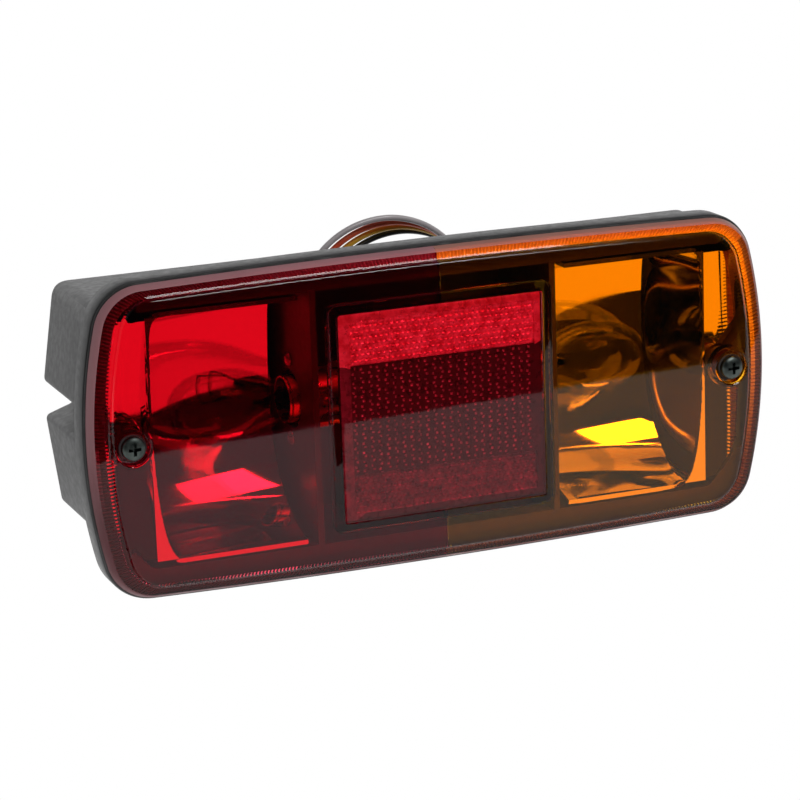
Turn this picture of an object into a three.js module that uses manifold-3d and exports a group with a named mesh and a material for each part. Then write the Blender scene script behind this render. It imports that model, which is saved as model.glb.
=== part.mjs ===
// Rear combination lamp for a trailer: a two-colour lens screwed over a black housing, with a
// reflex reflector in its middle, a chromed reflector and a bayonet bulb on each side, and flying leads.
//
// Frame: millimetres. X runs along the lamp, +Z is up and the lens faces -Y.
// The origin is the centre of the flat rear mounting face, so the whole lamp lies in front of Y = 0
// except its mounting bolts and leads.
import * as THREE from "three";
import { mergeVertices } from "three/addons/utils/BufferGeometryUtils.js";
import Module from "manifold-3d";

const wasm = await Module();
wasm.setup();

// ---- Driving dimensions -------------------------------------------------------------------------
const HALF_LENGTH = 112.4;
const HALF_HEIGHT = 50;
const END_BOW = 8.2; // how far each end bulges between its corners
const TOP_BOW = 1.85; // how far the long edges bulge
const CORNER_R = 15.6;

const SEAT_Y = -42; // front face of the housing flange, where the gasket lies
const FLANGE_DEPTH = 8.5;
const WALL = 2.5;
const REAR_WALL = 3.4;
const REAR_RECESS = 1.2;
const GASKET = 1.1;

const BODY_TOP = 42;
const PARTITION = [38.3, 40.3]; // the two walls that carry the bulb sockets, by |x|
const SCREW_X = 98.5;
const BOLT_X = 62;
const GROMMET = [-12, 14]; // x, z of the cable outlet
const GROMMET_R = 6;

const LENS_BACK = SEAT_Y - GASKET;
const RIM_FRONT = -46.2; // the ribbed margin of the lens
const PANEL_FRONT = -48.3; // the raised flat panel
const PANEL_SKIN = 2.4;
const PANEL_INSET = [8, 5.3]; // at the ends, and along the top and bottom
const REFLEX = [66.5, 64.5, 2.7];
const REFLEX_FRONT = PANEL_FRONT - 0.7;

const TRAY_SKIN = 1.5;
const TRAY_X = [43.6, 84, 91.5]; // inner end, end of the trough floor, outer lip, by |x|
const TRAY_HALF_HEIGHT = 37.3;
const TROUGH_FLOOR = -9.3;

const SOCKET_X = 18; // closed end of each bulb socket, by |x|
const BULB_Y = -22;
const BULB_Z = 2;
const TWIST = THREE.MathUtils.degToRad(20);
const PUSH = 2;

const SCREW_TIP = -31.2;
const LEAD_R = 0.95;
const SIDES = [
  { name: "left", sign: -1 },
  { name: "right", sign: 1 },
];

// ---- Solids -------------------------------------------------------------------------------------
// A three.js geometry as a closed manifold solid, turned face out whichever way it was drawn.
function solid(geometry) {
  const bare = geometry.index ? geometry.toNonIndexed() : geometry.clone();
  bare.deleteAttribute("normal");
  bare.deleteAttribute("uv");
  const merged = mergeVertices(bare, 1e-4);
  const triVerts = new Uint32Array(merged.index.array);
  const vertProperties = merged.attributes.position.array;
  const made = new wasm.Manifold(new wasm.Mesh({ numProp: 3, vertProperties, triVerts }));
  if (made.volume() > 0) return made;
  return new wasm.Manifold(
    new wasm.Mesh({ numProp: 3, vertProperties, triVerts: triVerts.reverse() }),
  );
}

function geometryOf(made) {
  const mesh = made.getMesh();
  const geometry = new THREE.BufferGeometry();
  geometry.setAttribute("position", new THREE.BufferAttribute(mesh.vertProperties, 3));
  geometry.setIndex(new THREE.BufferAttribute(mesh.triVerts, 1));
  const flat = geometry.toNonIndexed();
  flat.computeVertexNormals();
  return flat;
}

const cut = (base, ...tools) => tools.reduce((rest, tool) => rest.subtract(tool), base);
const join = (base, ...others) => others.reduce((sum, other) => sum.add(other), base);

function extrude(shape, depth, bevel = 0, segments = 2, curveSegments = 4) {
  return new THREE.ExtrudeGeometry(shape, {
    depth: depth - 2 * bevel,
    bevelEnabled: bevel > 0,
    bevelThickness: bevel,
    bevelSize: bevel,
    bevelOffset: -bevel,
    bevelSegments: segments,
    curveSegments,
  }).translate(0, 0, bevel);
}

// A shape drawn in X and Z, running from y0 back to y1.
const plate = (shape, y0, y1, bevel, curveSegments) =>
  solid(
    extrude(shape, y1 - y0, bevel, 2, curveSegments)
      .rotateX(Math.PI / 2)
      .translate(0, y1, 0),
  );

// A shape drawn in Y and Z, running from x0 to x1.
const ACROSS = new THREE.Matrix4().makeBasis(
  new THREE.Vector3(0, 1, 0),
  new THREE.Vector3(0, 0, 1),
  new THREE.Vector3(1, 0, 0),
);
const across = (shape, x0, x1, curveSegments = 12) =>
  solid(extrude(shape, x1 - x0, 0, 1, curveSegments).applyMatrix4(ACROSS).translate(x0, 0, 0));

// A shape drawn in X and Y, running from z0 to z1.
const upright = (shape, z0, z1, curveSegments = 12) =>
  solid(extrude(shape, z1 - z0, 0, 1, curveSegments).translate(0, 0, z0));

const box = (x0, x1, y0, y1, z0, z1) =>
  solid(
    new THREE.BoxGeometry(x1 - x0, y1 - y0, z1 - z0).translate(
      (x0 + x1) / 2,
      (y0 + y1) / 2,
      (z0 + z1) / 2,
    ),
  );

// A round bar along Y.
const barY = (x, z, radius, y0, y1, sides = 20) =>
  solid(new THREE.CylinderGeometry(radius, radius, y1 - y0, sides).translate(x, (y0 + y1) / 2, z));

// A round bar along X.
const barX = (y, z, radius, x0, x1, sides = 20) =>
  solid(
    new THREE.CylinderGeometry(radius, radius, x1 - x0, sides)
      .rotateZ(Math.PI / 2)
      .translate((x0 + x1) / 2, y, z),
  );

// A profile of [radius, height] points turned about the Y axis.
const turned = (profile, sides = 20) =>
  solid(new THREE.LatheGeometry(profile.map(([r, y]) => new THREE.Vector2(r, y)), sides));

const mirrored = (made) => made.mirror([1, 0, 0]);

function circle(radius) {
  const shape = new THREE.Shape();
  shape.absarc(0, 0, radius, 0, 2 * Math.PI, false);
  return shape;
}

// A bar of six-sided section along a curve.
function rod(curve, radius, steps) {
  const geometry = new THREE.ExtrudeGeometry(circle(radius), {
    steps,
    curveSegments: 3,
    bevelEnabled: false,
    extrudePath: curve,
  });
  return solid(geometry);
}

// ---- Outlines -----------------------------------------------------------------------------------
// The lamp's front outline, drawn inwards by insetX at the ends and insetZ along the long edges:
// four shallow arcs joined by corner arcs.
function outline(insetX, insetZ = insetX, corner = CORNER_R - insetX) {
  const arcR = (half, bow) => (half * half + bow * bow) / (2 * bow);
  const endR = arcR(HALF_HEIGHT, END_BOW);
  const longR = arcR(HALF_LENGTH, TOP_BOW);
  const endCentre = HALF_LENGTH - endR;
  const longCentre = HALF_HEIGHT - longR;
  // The corner's centre lies at a known distance from both arc centres.
  const a = endR - insetX - corner;
  const b = longR - insetZ - corner;
  const base = Math.hypot(endCentre, longCentre);
  const along = (a * a - b * b + base * base) / (2 * base);
  const off = Math.sqrt(a * a - along * along);
  const dir = [-endCentre / base, longCentre / base];
  const cx = endCentre + dir[0] * along - dir[1] * off;
  const cz = dir[1] * along + dir[0] * off;
  const low = Math.atan2(cz, cx - endCentre);
  const high = Math.atan2(cz - longCentre, cx);
  const shape = new THREE.Shape();
  const quarter = Math.PI / 2;
  shape.absarc(endCentre, 0, endR - insetX, -low, low, false);
  shape.absarc(cx, cz, corner, low, high, false);
  shape.absarc(0, longCentre, longR - insetZ, high, 2 * quarter - high, false);
  shape.absarc(-cx, cz, corner, 2 * quarter - high, 2 * quarter - low, false);
  shape.absarc(-endCentre, 0, endR - insetX, 2 * quarter - low, 2 * quarter + low, false);
  shape.absarc(-cx, -cz, corner, 2 * quarter + low, 2 * quarter + high, false);
  shape.absarc(0, -longCentre, longR - insetZ, 2 * quarter + high, 4 * quarter - high, false);
  shape.absarc(cx, -cz, corner, -high, -low, false);
  return shape;
}

// A closed polygon of [x, y, radius] corners, each rounded by its radius.
function rounded(corners) {
  const shape = new THREE.Shape();
  const count = corners.length;
  corners.forEach(([x, y, radius], i) => {
    const here = new THREE.Vector2(x, y);
    const [bx, by] = corners[(i + count - 1) % count];
    const [nx, ny] = corners[(i + 1) % count];
    const back = new THREE.Vector2(bx - x, by - y).normalize();
    const next = new THREE.Vector2(nx - x, ny - y).normalize();
    const half = Math.acos(THREE.MathUtils.clamp(back.dot(next), -1, 1)) / 2;
    const reach = radius / Math.tan(half);
    const start = here.clone().addScaledVector(back, reach);
    const end = here.clone().addScaledVector(next, reach);
    if (i === 0) shape.moveTo(start.x, start.y);
    else shape.lineTo(start.x, start.y);
    if (radius > 0) shape.quadraticCurveTo(x, y, end.x, end.y);
  });
  shape.closePath();
  return shape;
}

const rectangle = (x0, x1, y0, y1, radius = 0) =>
  rounded([
    [x0, y0, radius],
    [x1, y0, radius],
    [x1, y1, radius],
    [x0, y1, radius],
  ]);

// The body behind the flange: square shoulders above, a V notch in each end and chamfered lower
// corners. The outer shape and the cavity share these corners, in from the edge by the wall.
function bodyShape(wall) {
  const half = [
    [107 - wall * 0.9, BODY_TOP - wall, 5.5 - wall],
    [111.7 - wall * 0.95, 11.9 + wall * 1.2, 2.4],
    [102.6 - wall * 1.35, 4, 1],
    [111.8 - wall * 0.95, 0.9 - wall * 0.75, 2],
    [108.4 - wall * 1.05, -26.5 + wall * 0.3, 3],
    [93.5 - wall * 0.35, wall - BODY_TOP, 4],
  ];
  const left = half.map(([x, z, r]) => [-x, z, r]);
  return rounded([...left, ...half.reverse()]);
}

// ---- Housing ------------------------------------------------------------------------------------
function housing() {
  const flange = plate(outline(0), SEAT_Y, SEAT_Y + FLANGE_DEPTH, 0.6);
  const body = plate(bodyShape(0), SEAT_Y + 4, 0, 1.2, 4);
  const cavity = plate(bodyShape(WALL), SEAT_Y - 1, -REAR_WALL, 0, 4);
  const innerZ = BODY_TOP - WALL + 0.5;
  const floor = -REAR_WALL + 0.5;
  const partition = box(...PARTITION, SEAT_Y - 0.3, floor, -innerZ, innerZ);
  const socketHole = barX(BULB_Y, BULB_Z, 9.2, 30, 42);
  const rivetHoles = [-12.5, 12.5].map((dz) => barX(BULB_Y, BULB_Z + dz, 1.4, 30, 42, 12));
  const wall = cut(partition, socketHole, ...rivetHoles);
  const boss = barY(SCREW_X, 0, 5, SEAT_Y - 0.3, floor);
  const pilot = barY(SCREW_X, 0, 2.3, SEAT_Y - 2, SCREW_TIP + 3, 16);
  const strut = box(SCREW_X, 108, SEAT_Y + 2, floor, -1, 1);
  const boltHole = barY(BOLT_X, 0, 3.3, -5, 1);
  const drainBar = new THREE.CylinderGeometry(2, 2, 8, 12).rotateX(Math.PI / 2);
  const drain = solid(drainBar.translate(70, -30, -BODY_TOP));
  const recess = cut(
    plate(rectangle(-97, 97, -35, 35, 5), -REAR_RECESS, 1),
    barY(0, 0, 8, -3, 2),
    barY(...GROMMET, 10, -3, 2),
    ...[-1, 1].map((s) => barY(s * BOLT_X, 0, 12, -3, 2, 32)),
    ...[-31, 31, -87, 87].map((x) => box(x - 1, x + 1, -3, 2, -36, 36)),
  );
  const inside = join(wall, boss, strut);
  const shell = join(cut(flange.add(body), cavity), inside, mirrored(inside));
  const holes = join(pilot, boltHole, drain);
  return cut(shell, holes, mirrored(holes), recess, barY(...GROMMET, GROMMET_R, -5, 1));
}

const gasket = () =>
  cut(plate(outline(0.5), LENS_BACK, SEAT_Y), plate(outline(3.1), LENS_BACK - 1, SEAT_Y + 1));

// ---- Lens ---------------------------------------------------------------------------------------
function lens() {
  const rim = plate(outline(1), RIM_FRONT, LENS_BACK, 1.2);
  const [endInset, longInset] = PANEL_INSET;
  const panel = plate(outline(endInset, longInset, 11), PANEL_FRONT, LENS_BACK - 0.6, 1.3);
  const [width, height] = REFLEX;
  const frame = plate(
    rectangle(-width / 2 - 3.2, width / 2 + 3.2, -height / 2 - 3.2, height / 2 + 3.2, 3),
    PANEL_FRONT - 0.45,
    PANEL_FRONT + 4.1,
  );
  const bosses = SIDES.map(({ sign }) =>
    barY(sign * SCREW_X, 0, 6.6, PANEL_FRONT + 0.5, LENS_BACK + 0.2),
  );
  const rimHollow = plate(outline(3.4), RIM_FRONT + 2, LENS_BACK + 1);
  const panelHollow = plate(
    outline(endInset + 2.2, longInset + 2.2, 9),
    PANEL_FRONT + PANEL_SKIN,
    LENS_BACK + 1,
  );
  const hollow = rimHollow.add(panelHollow);
  const shell = join(cut(rim.add(panel), hollow), frame, ...bosses);
  const pocket = plate(
    rectangle(-width / 2 - 0.3, width / 2 + 0.3, -height / 2 - 0.3, height / 2 + 0.3, 1),
    PANEL_FRONT - 2,
    REFLEX_FRONT + REFLEX[2],
  );
  const window = plate(
    rectangle(-width / 2 + 2.5, width / 2 - 2.5, -height / 2 + 2.5, height / 2 - 2.5, 1),
    PANEL_FRONT - 2,
    LENS_BACK,
  );
  const screwHoles = SIDES.flatMap(({ sign }) => [
    barY(sign * SCREW_X, 0, 5.2, PANEL_FRONT - 2, PANEL_FRONT + 2.3),
    barY(sign * SCREW_X, 0, 2.4, PANEL_FRONT - 2, LENS_BACK + 2, 16),
  ]);
  return cut(shell, pocket, window, ...screwHoles);
}

function lensHalf(whole, sign) {
  const edge = 0.05; // the two colours meet in a fine line
  const side = box(sign > 0 ? edge : -130, sign > 0 ? 130 : -edge, -60, 0, -60, 60);
  return whole.intersect(side);
}

function reflex() {
  const [width, height, depth] = REFLEX;
  const slab = rectangle(-width / 2, width / 2, -height / 2, height / 2, 1);
  return plate(slab, REFLEX_FRONT, REFLEX_FRONT + depth - 0.05, 0.4);
}

// ---- Lens screws --------------------------------------------------------------------------------
const HEAD_SEAT = PANEL_FRONT + 1.3;

function lensScrew() {
  const body = turned([
    [0, SCREW_TIP],
    [0.6, SCREW_TIP],
    [1.9, SCREW_TIP - 2.6],
    [1.9, HEAD_SEAT],
    [3.75, HEAD_SEAT],
    [3.75, HEAD_SEAT - 1.2],
    [3.0, HEAD_SEAT - 2.1],
    [0, HEAD_SEAT - 2.5],
  ]);
  const slot = (w, h) => box(-w / 2, w / 2, HEAD_SEAT - 3, HEAD_SEAT - 1.1, -h / 2, h / 2);
  return cut(body, slot(3.8, 0.9), slot(0.9, 3.8));
}

const screwSeal = () =>
  turned([
    [2.2, PANEL_FRONT + 2.3],
    [4.3, PANEL_FRONT + 2.3],
    [4.3, HEAD_SEAT],
    [2.2, HEAD_SEAT],
    [2.2, PANEL_FRONT + 2.3],
  ]);

// ---- Chromed reflectors -------------------------------------------------------------------------
// How far the reflector's face leans at heights up its section, in degrees: at nought it faces
// straight out of the lamp, and it turns up below that height and down above it.
const FACE_LEAN = {
  red: [
    [-37.3, 79],
    [-33, 65],
    [-29, 53],
    [-24, 43],
    [-17, 30],
    [-8, 13],
    [0, 3.2],
    [4.7, 0],
    [12, -3],
    [28, -9],
    [32, -30],
    [35, -66],
    [37.3, -86],
  ],
  amber: [
    [-37.3, 79],
    [-33, 65],
    [-29, 53],
    [-24, 42],
    [-18, 29],
    [-6, 12],
    [6, 3.4],
    [15, -0.5],
    [22, -4],
    [29, -10],
    [32.5, -32],
    [35, -66],
    [37.3, -86],
  ],
};
const LEAN_STEPS = 4; // points drawn between two stated leans

// The curve of the reflector's face in Y and Z, moved back square to itself by grow.
function trayCurve(name, grow) {
  const leans = FACE_LEAN[name];
  const path = [];
  let depth = 0;
  for (let i = 0; i + 1 < leans.length; i++) {
    const [[z0, from], [z1, to]] = [leans[i], leans[i + 1]];
    for (let k = 0; k < LEAN_STEPS; k++) {
      const t = k / LEAN_STEPS;
      const lean = THREE.MathUtils.degToRad(from + (to - from) * t);
      const ahead = THREE.MathUtils.degToRad(from + (to - from) * (t + 1 / LEAN_STEPS));
      path.push({ depth, z: z0 + (z1 - z0) * t, lean });
      depth += (((Math.tan(lean) + Math.tan(ahead)) / 2) * (z1 - z0)) / LEAN_STEPS;
    }
  }
  const [z, last] = leans[leans.length - 1];
  path.push({ depth, z, lean: THREE.MathUtils.degToRad(last) });
  const deepest = Math.max(...path.map((p) => p.depth));
  return path.map((p) => [
    TROUGH_FLOOR + p.depth - deepest + grow * Math.cos(p.lean),
    p.z - grow * Math.sin(p.lean),
  ]);
}

// A trough that is open at the lamp's middle and flares towards the lens at its outer end.
function traySolid(name, grow) {
  const [inner, floorEnd, lip] = TRAY_X;
  const start = grow > 0 ? inner : inner - 1;
  const height = TRAY_HALF_HEIGHT + grow;
  const ahead = SEAT_Y - 8;
  const section = new THREE.Shape();
  section.moveTo(ahead, -height);
  for (const [y, z] of trayCurve(name, grow)) section.lineTo(y, z);
  section.lineTo(ahead, height);
  section.closePath();
  const trough = across(section, start, lip + grow + 1);
  const plan = new THREE.Shape();
  const front = SEAT_Y - (grow > 0 ? 0 : 2);
  plan.moveTo(start, front);
  plan.lineTo(lip + grow, front);
  plan.quadraticCurveTo(floorEnd + grow + 5, TROUGH_FLOOR - 14, floorEnd + grow, TROUGH_FLOOR + 3);
  plan.lineTo(start, TROUGH_FLOOR + 3);
  plan.closePath();
  return trough.intersect(upright(plan, -height, height, 8));
}

// The flange outside the trough's lip, kept clear of the housing's walls and its screw boss.
function trayFlange() {
  const [front, gap] = [SEAT_Y + 0.2, 0.6];
  const reach = TRAY_HALF_HEIGHT - 0.8;
  const strip = box(TRAY_X[2], HALF_LENGTH, front, front + TRAY_SKIN, -reach, reach);
  const room = plate(bodyShape(WALL + gap), SEAT_Y - 1, 0, 0, 4);
  return cut(strip.intersect(room), barY(SCREW_X, 0, 5.7, SEAT_Y - 1, 0));
}

const tray = (name) => join(cut(traySolid(name, TRAY_SKIN), traySolid(name, 0)), trayFlange());

// ---- Bulb sockets: each is drawn standing on its closed end, its axis along +Y --------------------
const SHELL = { inner: 7.9, outer: 8.6, length: 20 };
const RIVET_OFFSET = 12.5;
const CARRIER = [6.8, 9.3];
const CAP = [10.2, 25];
const CAP_R = 7.5;
const PIN_R = 1;

// A wedge of the shell's wall between two heights, from angle a to angle b about the axis.
function wallSlot(a, b, low, high) {
  const steps = 4;
  const pieces = [];
  for (let i = 0; i <= steps; i += 1) {
    const angle = a + ((b - a) * i) / steps;
    const piece = new THREE.BoxGeometry(2 * PIN_R + 0.7, high - low, 4)
      .translate(0, (low + high) / 2, SHELL.inner + 0.5)
      .rotateY(angle);
    pieces.push(solid(piece));
  }
  return join(...pieces);
}

// A thin-walled bayonet shell with a mounting flange at its mouth. pins holds the two pin heights.
function socketShell(pins) {
  const { inner, outer, length } = SHELL;
  const tube = turned([
    [5.2, 0],
    [outer, 0],
    [outer, length],
    [inner, length],
    [inner, 0.7],
    [5.2, 0.7],
    [5.2, 0],
  ]);
  const flangeShape = rectangle(-9.5, 9.5, -16.5, 16.5, 4);
  const bore = barY(0, 0, outer - 0.2, length - 2, length + 1);
  const plateSolid = plate(flangeShape, length - 0.8, length, 0, 3);
  const rivets = [-1, 1].map((s) => barY(0, s * RIVET_OFFSET, 1.4, length - 2, length + 1, 12));
  const shell = tube.add(cut(plateSolid, bore, ...rivets));
  const slots = pins.flatMap((height, i) => {
    const from = i * Math.PI + Math.PI / 2;
    const low = height - PIN_R - PUSH - 0.3;
    return [
      wallSlot(from, from + TWIST, low, height + PIN_R + 0.3),
      wallSlot(from + TWIST, from + TWIST, low, length + 1),
    ];
  });
  return cut(shell, ...slots);
}

const contactCarrier = (studs) =>
  cut(
    barY(0, 0, 7.5, ...CARRIER),
    ...studs.map((x) => barY(x, 0, 1.2, CARRIER[0] - 1, CARRIER[1] + 1, 12)),
  );

const contactStud = (x) =>
  solid(
    new THREE.LatheGeometry(
      [
        [0, -4],
        [1, -4],
        [1, CARRIER[1] + 0.05],
        [2, CARRIER[1] + 0.05],
        [1.5, CARRIER[1] + 0.6],
        [0, CARRIER[1] + 0.7],
      ].map(([r, y]) => new THREE.Vector2(r, y)),
      12,
    ).translate(x, 0, 0),
  );

class Coil extends THREE.Curve {
  constructor(radius, turns, low, high) {
    super();
    Object.assign(this, { radius, turns, low, high });
  }
  getPoint(t, target = new THREE.Vector3()) {
    const angle = t * this.turns * 2 * Math.PI;
    const height = this.low + (this.high - this.low) * t;
    return target.set(this.radius * Math.cos(angle), height, this.radius * Math.sin(angle));
  }
}

const contactSpring = () => rod(new Coil(6.3, 2.5, 1.3, 4.1), 0.4, 36);

function bulbCap(pins) {
  const barrel = turned([
    [CAP_R - 0.6, CAP[0] + 1.2],
    [CAP_R, CAP[0] + 1.2],
    [CAP_R, CAP[1]],
    [CAP_R - 0.6, CAP[1]],
    [CAP_R - 0.6, CAP[0] + 1.2],
  ]);
  const studs = pins.map((height, i) =>
    solid(
      new THREE.CylinderGeometry(PIN_R, PIN_R, 1.5, 10)
        .rotateX(Math.PI / 2)
        .translate(0, height, CAP_R + 0.2)
        .rotateY(i * Math.PI + Math.PI / 2),
    ),
  );
  return join(barrel, ...studs);
}

const capInsulator = (contacts) =>
  join(
    turned([
      [0, CAP[0] + 0.4],
      [5, CAP[0] + 0.4],
      [CAP_R - 0.9, CAP[0] + 1.4],
      [CAP_R - 0.9, CAP[0] + 4],
      [0, CAP[0] + 4],
    ]),
    ...contacts.map((x) => barY(x, 0, 1.7, CAP[0], CAP[0] + 1, 12)),
  );

// The glass envelope: open at its neck, which stands inside the cap.
function bulbGlass() {
  const shape = (grow) => [
    [6.2 + grow, CAP[1] - 6],
    [6.2 + grow, CAP[1] + 1.5],
    [8.2 + grow, CAP[1] + 6],
    [11.0 + grow, CAP[1] + 13],
    [11.6 + grow, CAP[1] + 20],
    [10.7 + grow, CAP[1] + 27],
    [7.8 + grow, CAP[1] + 32.5 + grow],
    [3.6 + grow, CAP[1] + 35.4 + grow],
  ];
  const outside = shape(0.5);
  const inside = shape(0);
  const profile = [
    ...outside,
    [0, CAP[1] + 36.6],
    [0, CAP[1] + 36],
    ...inside.reverse(),
    outside[0],
  ];
  return turned(profile, 16);
}

// The glass stem and the filament it holds on two lead wires.
function bulbFilament() {
  const stem = turned(
    [
      [0, CAP[1] - 5],
      [3.4, CAP[1] - 5],
      [2.4, CAP[1] + 3],
      [1.5, CAP[1] + 9],
      [0, CAP[1] + 9.6],
    ],
    12,
  );
  const top = CAP[1] + 19;
  const loop = new THREE.CatmullRomCurve3(
    [
      [-1, CAP[1] + 8],
      [-3, CAP[1] + 13],
      [-3.4, top],
      [0, top + 1.2],
      [3.4, top],
      [3, CAP[1] + 13],
      [1, CAP[1] + 8],
    ].map(([z, y]) => new THREE.Vector3(0, y, z)),
  );
  return stem.add(rod(loop, 0.3, 18));
}

const socketRivet = () =>
  turned(
    [
      [0, SHELL.length - 3.2],
      [1.6, SHELL.length - 3],
      [2.2, SHELL.length - 1.9],
      [1.2, SHELL.length - 1.9],
      [1.2, SHELL.length + 2.5],
      [2.2, SHELL.length + 2.5],
      [1.6, SHELL.length + 3.3],
      [0, SHELL.length + 3.5],
    ],
    12,
  );

// ---- Wiring -------------------------------------------------------------------------------------
// A brass strip along the rear wall, bent forwards at both ends to the socket flanges.
function earthStrip() {
  const [end, skin, reach] = [36.9, 0.7, -25];
  const back = -REAR_WALL - 0.4;
  const plan = rounded([
    [-end, back, 0],
    [-end, reach, 0],
    [skin - end, reach, 0],
    [skin - end, back - skin, 0],
    [end - skin, back - skin, 0],
    [end - skin, reach, 0],
    [end, reach, 0],
    [end, back, 0],
  ]);
  const rivetZ = BULB_Z - RIVET_OFFSET;
  const strip = upright(plan, rivetZ - 3, rivetZ + 3);
  return cut(strip, barX(BULB_Y, rivetZ, 1.4, -40, 40, 12));
}

function grommet() {
  const ring = turned([
    [2.9, -REAR_WALL - 1.5],
    [8, -REAR_WALL - 1.5],
    [8, -REAR_WALL - 0.05],
    [GROMMET_R - 0.1, -REAR_WALL - 0.05],
    [GROMMET_R - 0.1, 0.05],
    [7.8, 0.05],
    [7.2, 1.4],
    [4.6, 3],
    [2.9, 3],
    [2.9, -REAR_WALL - 1.5],
  ]);
  return ring.translate([GROMMET[0], 0, GROMMET[1]]);
}

// Each lead starts inside the lamp, passes the grommet, loops up behind the housing and hangs down.
const LEADS = [
  { name: "lead_tail", color: 0xb9aeb0, start: [-11, -25, 2], slot: [-1.1, 1.1], lane: 0 },
  { name: "lead_stop", color: 0xd84a26, start: [-11, -19, 2], slot: [-1.1, -1.1], lane: 1 },
  { name: "lead_indicator", color: 0xd9a21e, start: [11, -22, 2], slot: [1.1, 1.1], lane: 2 },
  { name: "lead_earth", color: 0x17171b, start: [-3, -6.5, -10.5], slot: [1.1, -1.1], lane: 3 },
];
const LOOP = { x: 3.5, z: 18.5, radius: 30, y: 7 };
const LANE = { x: 2.65, y: 2.2, z: -2.1 }; // how each loop differs from the one before

function lead({ start, slot, lane }) {
  const [gx, gz] = [GROMMET[0] + slot[0], GROMMET[1] + slot[1]];
  const { radius } = LOOP;
  const centreX = LOOP.x + lane * LANE.x;
  const centreZ = LOOP.z + lane * LANE.z;
  const y = LOOP.y + lane * LANE.y;
  const around = [165, 135, 110, 85, 60, 35, 10, -15].map((degrees) => {
    const angle = THREE.MathUtils.degToRad(degrees);
    return [centreX + radius * Math.cos(angle), y, centreZ + radius * Math.sin(angle)];
  });
  const tail = [
    [centreX + radius * 0.82, y, -14],
    [centreX + radius * 0.6, y, -30],
  ];
  const points = [
    start,
    [(start[0] * 2 + gx) / 3, start[1] * 0.7 - 3, (start[2] + gz) / 2],
    [gx, -9, gz],
    [gx, -3, gz],
    [gx, 4, gz],
    [gx - 3, y - 0.5, gz + 1.5],
    ...around,
    ...tail,
  ];
  const path = new THREE.CatmullRomCurve3(
    points.map((p) => new THREE.Vector3(...p)),
    false,
    "centripetal",
  );
  return rod(path, LEAD_R, 44);
}

// ---- Mounting bolts -----------------------------------------------------------------------------
const BOLT = { head: 4, acrossCorners: 11.5, radius: 3, tip: 15 };
const NUT = { height: 5, acrossCorners: 11.5 };
const WASHER = { radius: 6, height: 1.6 };

const hexagon = (corners, y0, y1) => barY(0, 0, corners / 2, y0, y1, 6);

const mountingBolt = () =>
  join(
    hexagon(BOLT.acrossCorners, -REAR_WALL - BOLT.head, -REAR_WALL),
    turned([
      [0, -REAR_WALL - 1],
      [BOLT.radius, -REAR_WALL - 1],
      [BOLT.radius, BOLT.tip - 0.8],
      [BOLT.radius - 0.8, BOLT.tip],
      [0, BOLT.tip],
    ]),
  );

const washer = () =>
  cut(barY(0, 0, WASHER.radius, 0, WASHER.height), barY(0, 0, 3.2, -1, WASHER.height + 1));

const nut = () =>
  cut(
    hexagon(NUT.acrossCorners, WASHER.height + 0.05, WASHER.height + NUT.height),
    barY(0, 0, BOLT.radius + 0.08, 0, WASHER.height + NUT.height + 1),
  );

// ---- Materials ----------------------------------------------------------------------------------
const finish = (color, roughness, metalness = 0) =>
  new THREE.MeshStandardMaterial({ color, roughness, metalness });
const blackPlastic = () => finish(0x2c2c2e, 0.6);
const blackRubber = () => finish(0x131314, 0.85);
const chrome = () => finish(0xe8e8ea, 0.06, 1);
const zincSteel = () => finish(0xa9abad, 0.35, 1);
const blackZinc = () => finish(0x23262a, 0.4, 1);
const brass = () => finish(0xc79a4a, 0.3, 1);
const clearGlass = () => finish(0xeef2f2, 0.03);
const phenolic = () => finish(0x5a3522, 0.7);

// ---- Assembly -----------------------------------------------------------------------------------
const lamp = new THREE.Group();
lamp.name = "trailer_tail_light";

function piece(name, made, material, parent = lamp) {
  const mesh = new THREE.Mesh(geometryOf(made), material);
  mesh.name = name;
  parent.add(mesh);
  return mesh;
}

piece("housing", housing(), blackPlastic());
piece("lens_gasket", gasket(), blackRubber());

const wholeLens = lens();
piece("lens_red", lensHalf(wholeLens, -1), finish(0xb00614, 0.08));
piece("lens_amber", lensHalf(wholeLens, 1), finish(0xf07a00, 0.08));
piece("reflex_reflector", reflex(), finish(0x9c0a22, 0.12));

for (const { name, sign } of SIDES) {
  piece(`lens_screw_${name}`, lensScrew(), blackZinc()).position.x = sign * SCREW_X;
  piece(`screw_seal_${name}`, screwSeal(), blackRubber()).position.x = sign * SCREW_X;
  piece(`mounting_bolt_${name}`, mountingBolt(), zincSteel()).position.x = sign * BOLT_X;
  piece(`washer_${name}`, washer(), zincSteel()).position.x = sign * BOLT_X;
  piece(`nut_${name}`, nut(), zincSteel()).position.x = sign * BOLT_X;
}

// The two bulb units face outwards from the middle: the red one is a double-contact stop and tail
// bulb with offset pins, the amber one a single-contact indicator bulb.
const UNITS = [
  { name: "red", sign: -1, pins: [16.5, 13.4], studs: { tail: -3, stop: 3 } },
  { name: "amber", sign: 1, pins: [16.5, 16.5], studs: { feed: 0 } },
];

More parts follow.
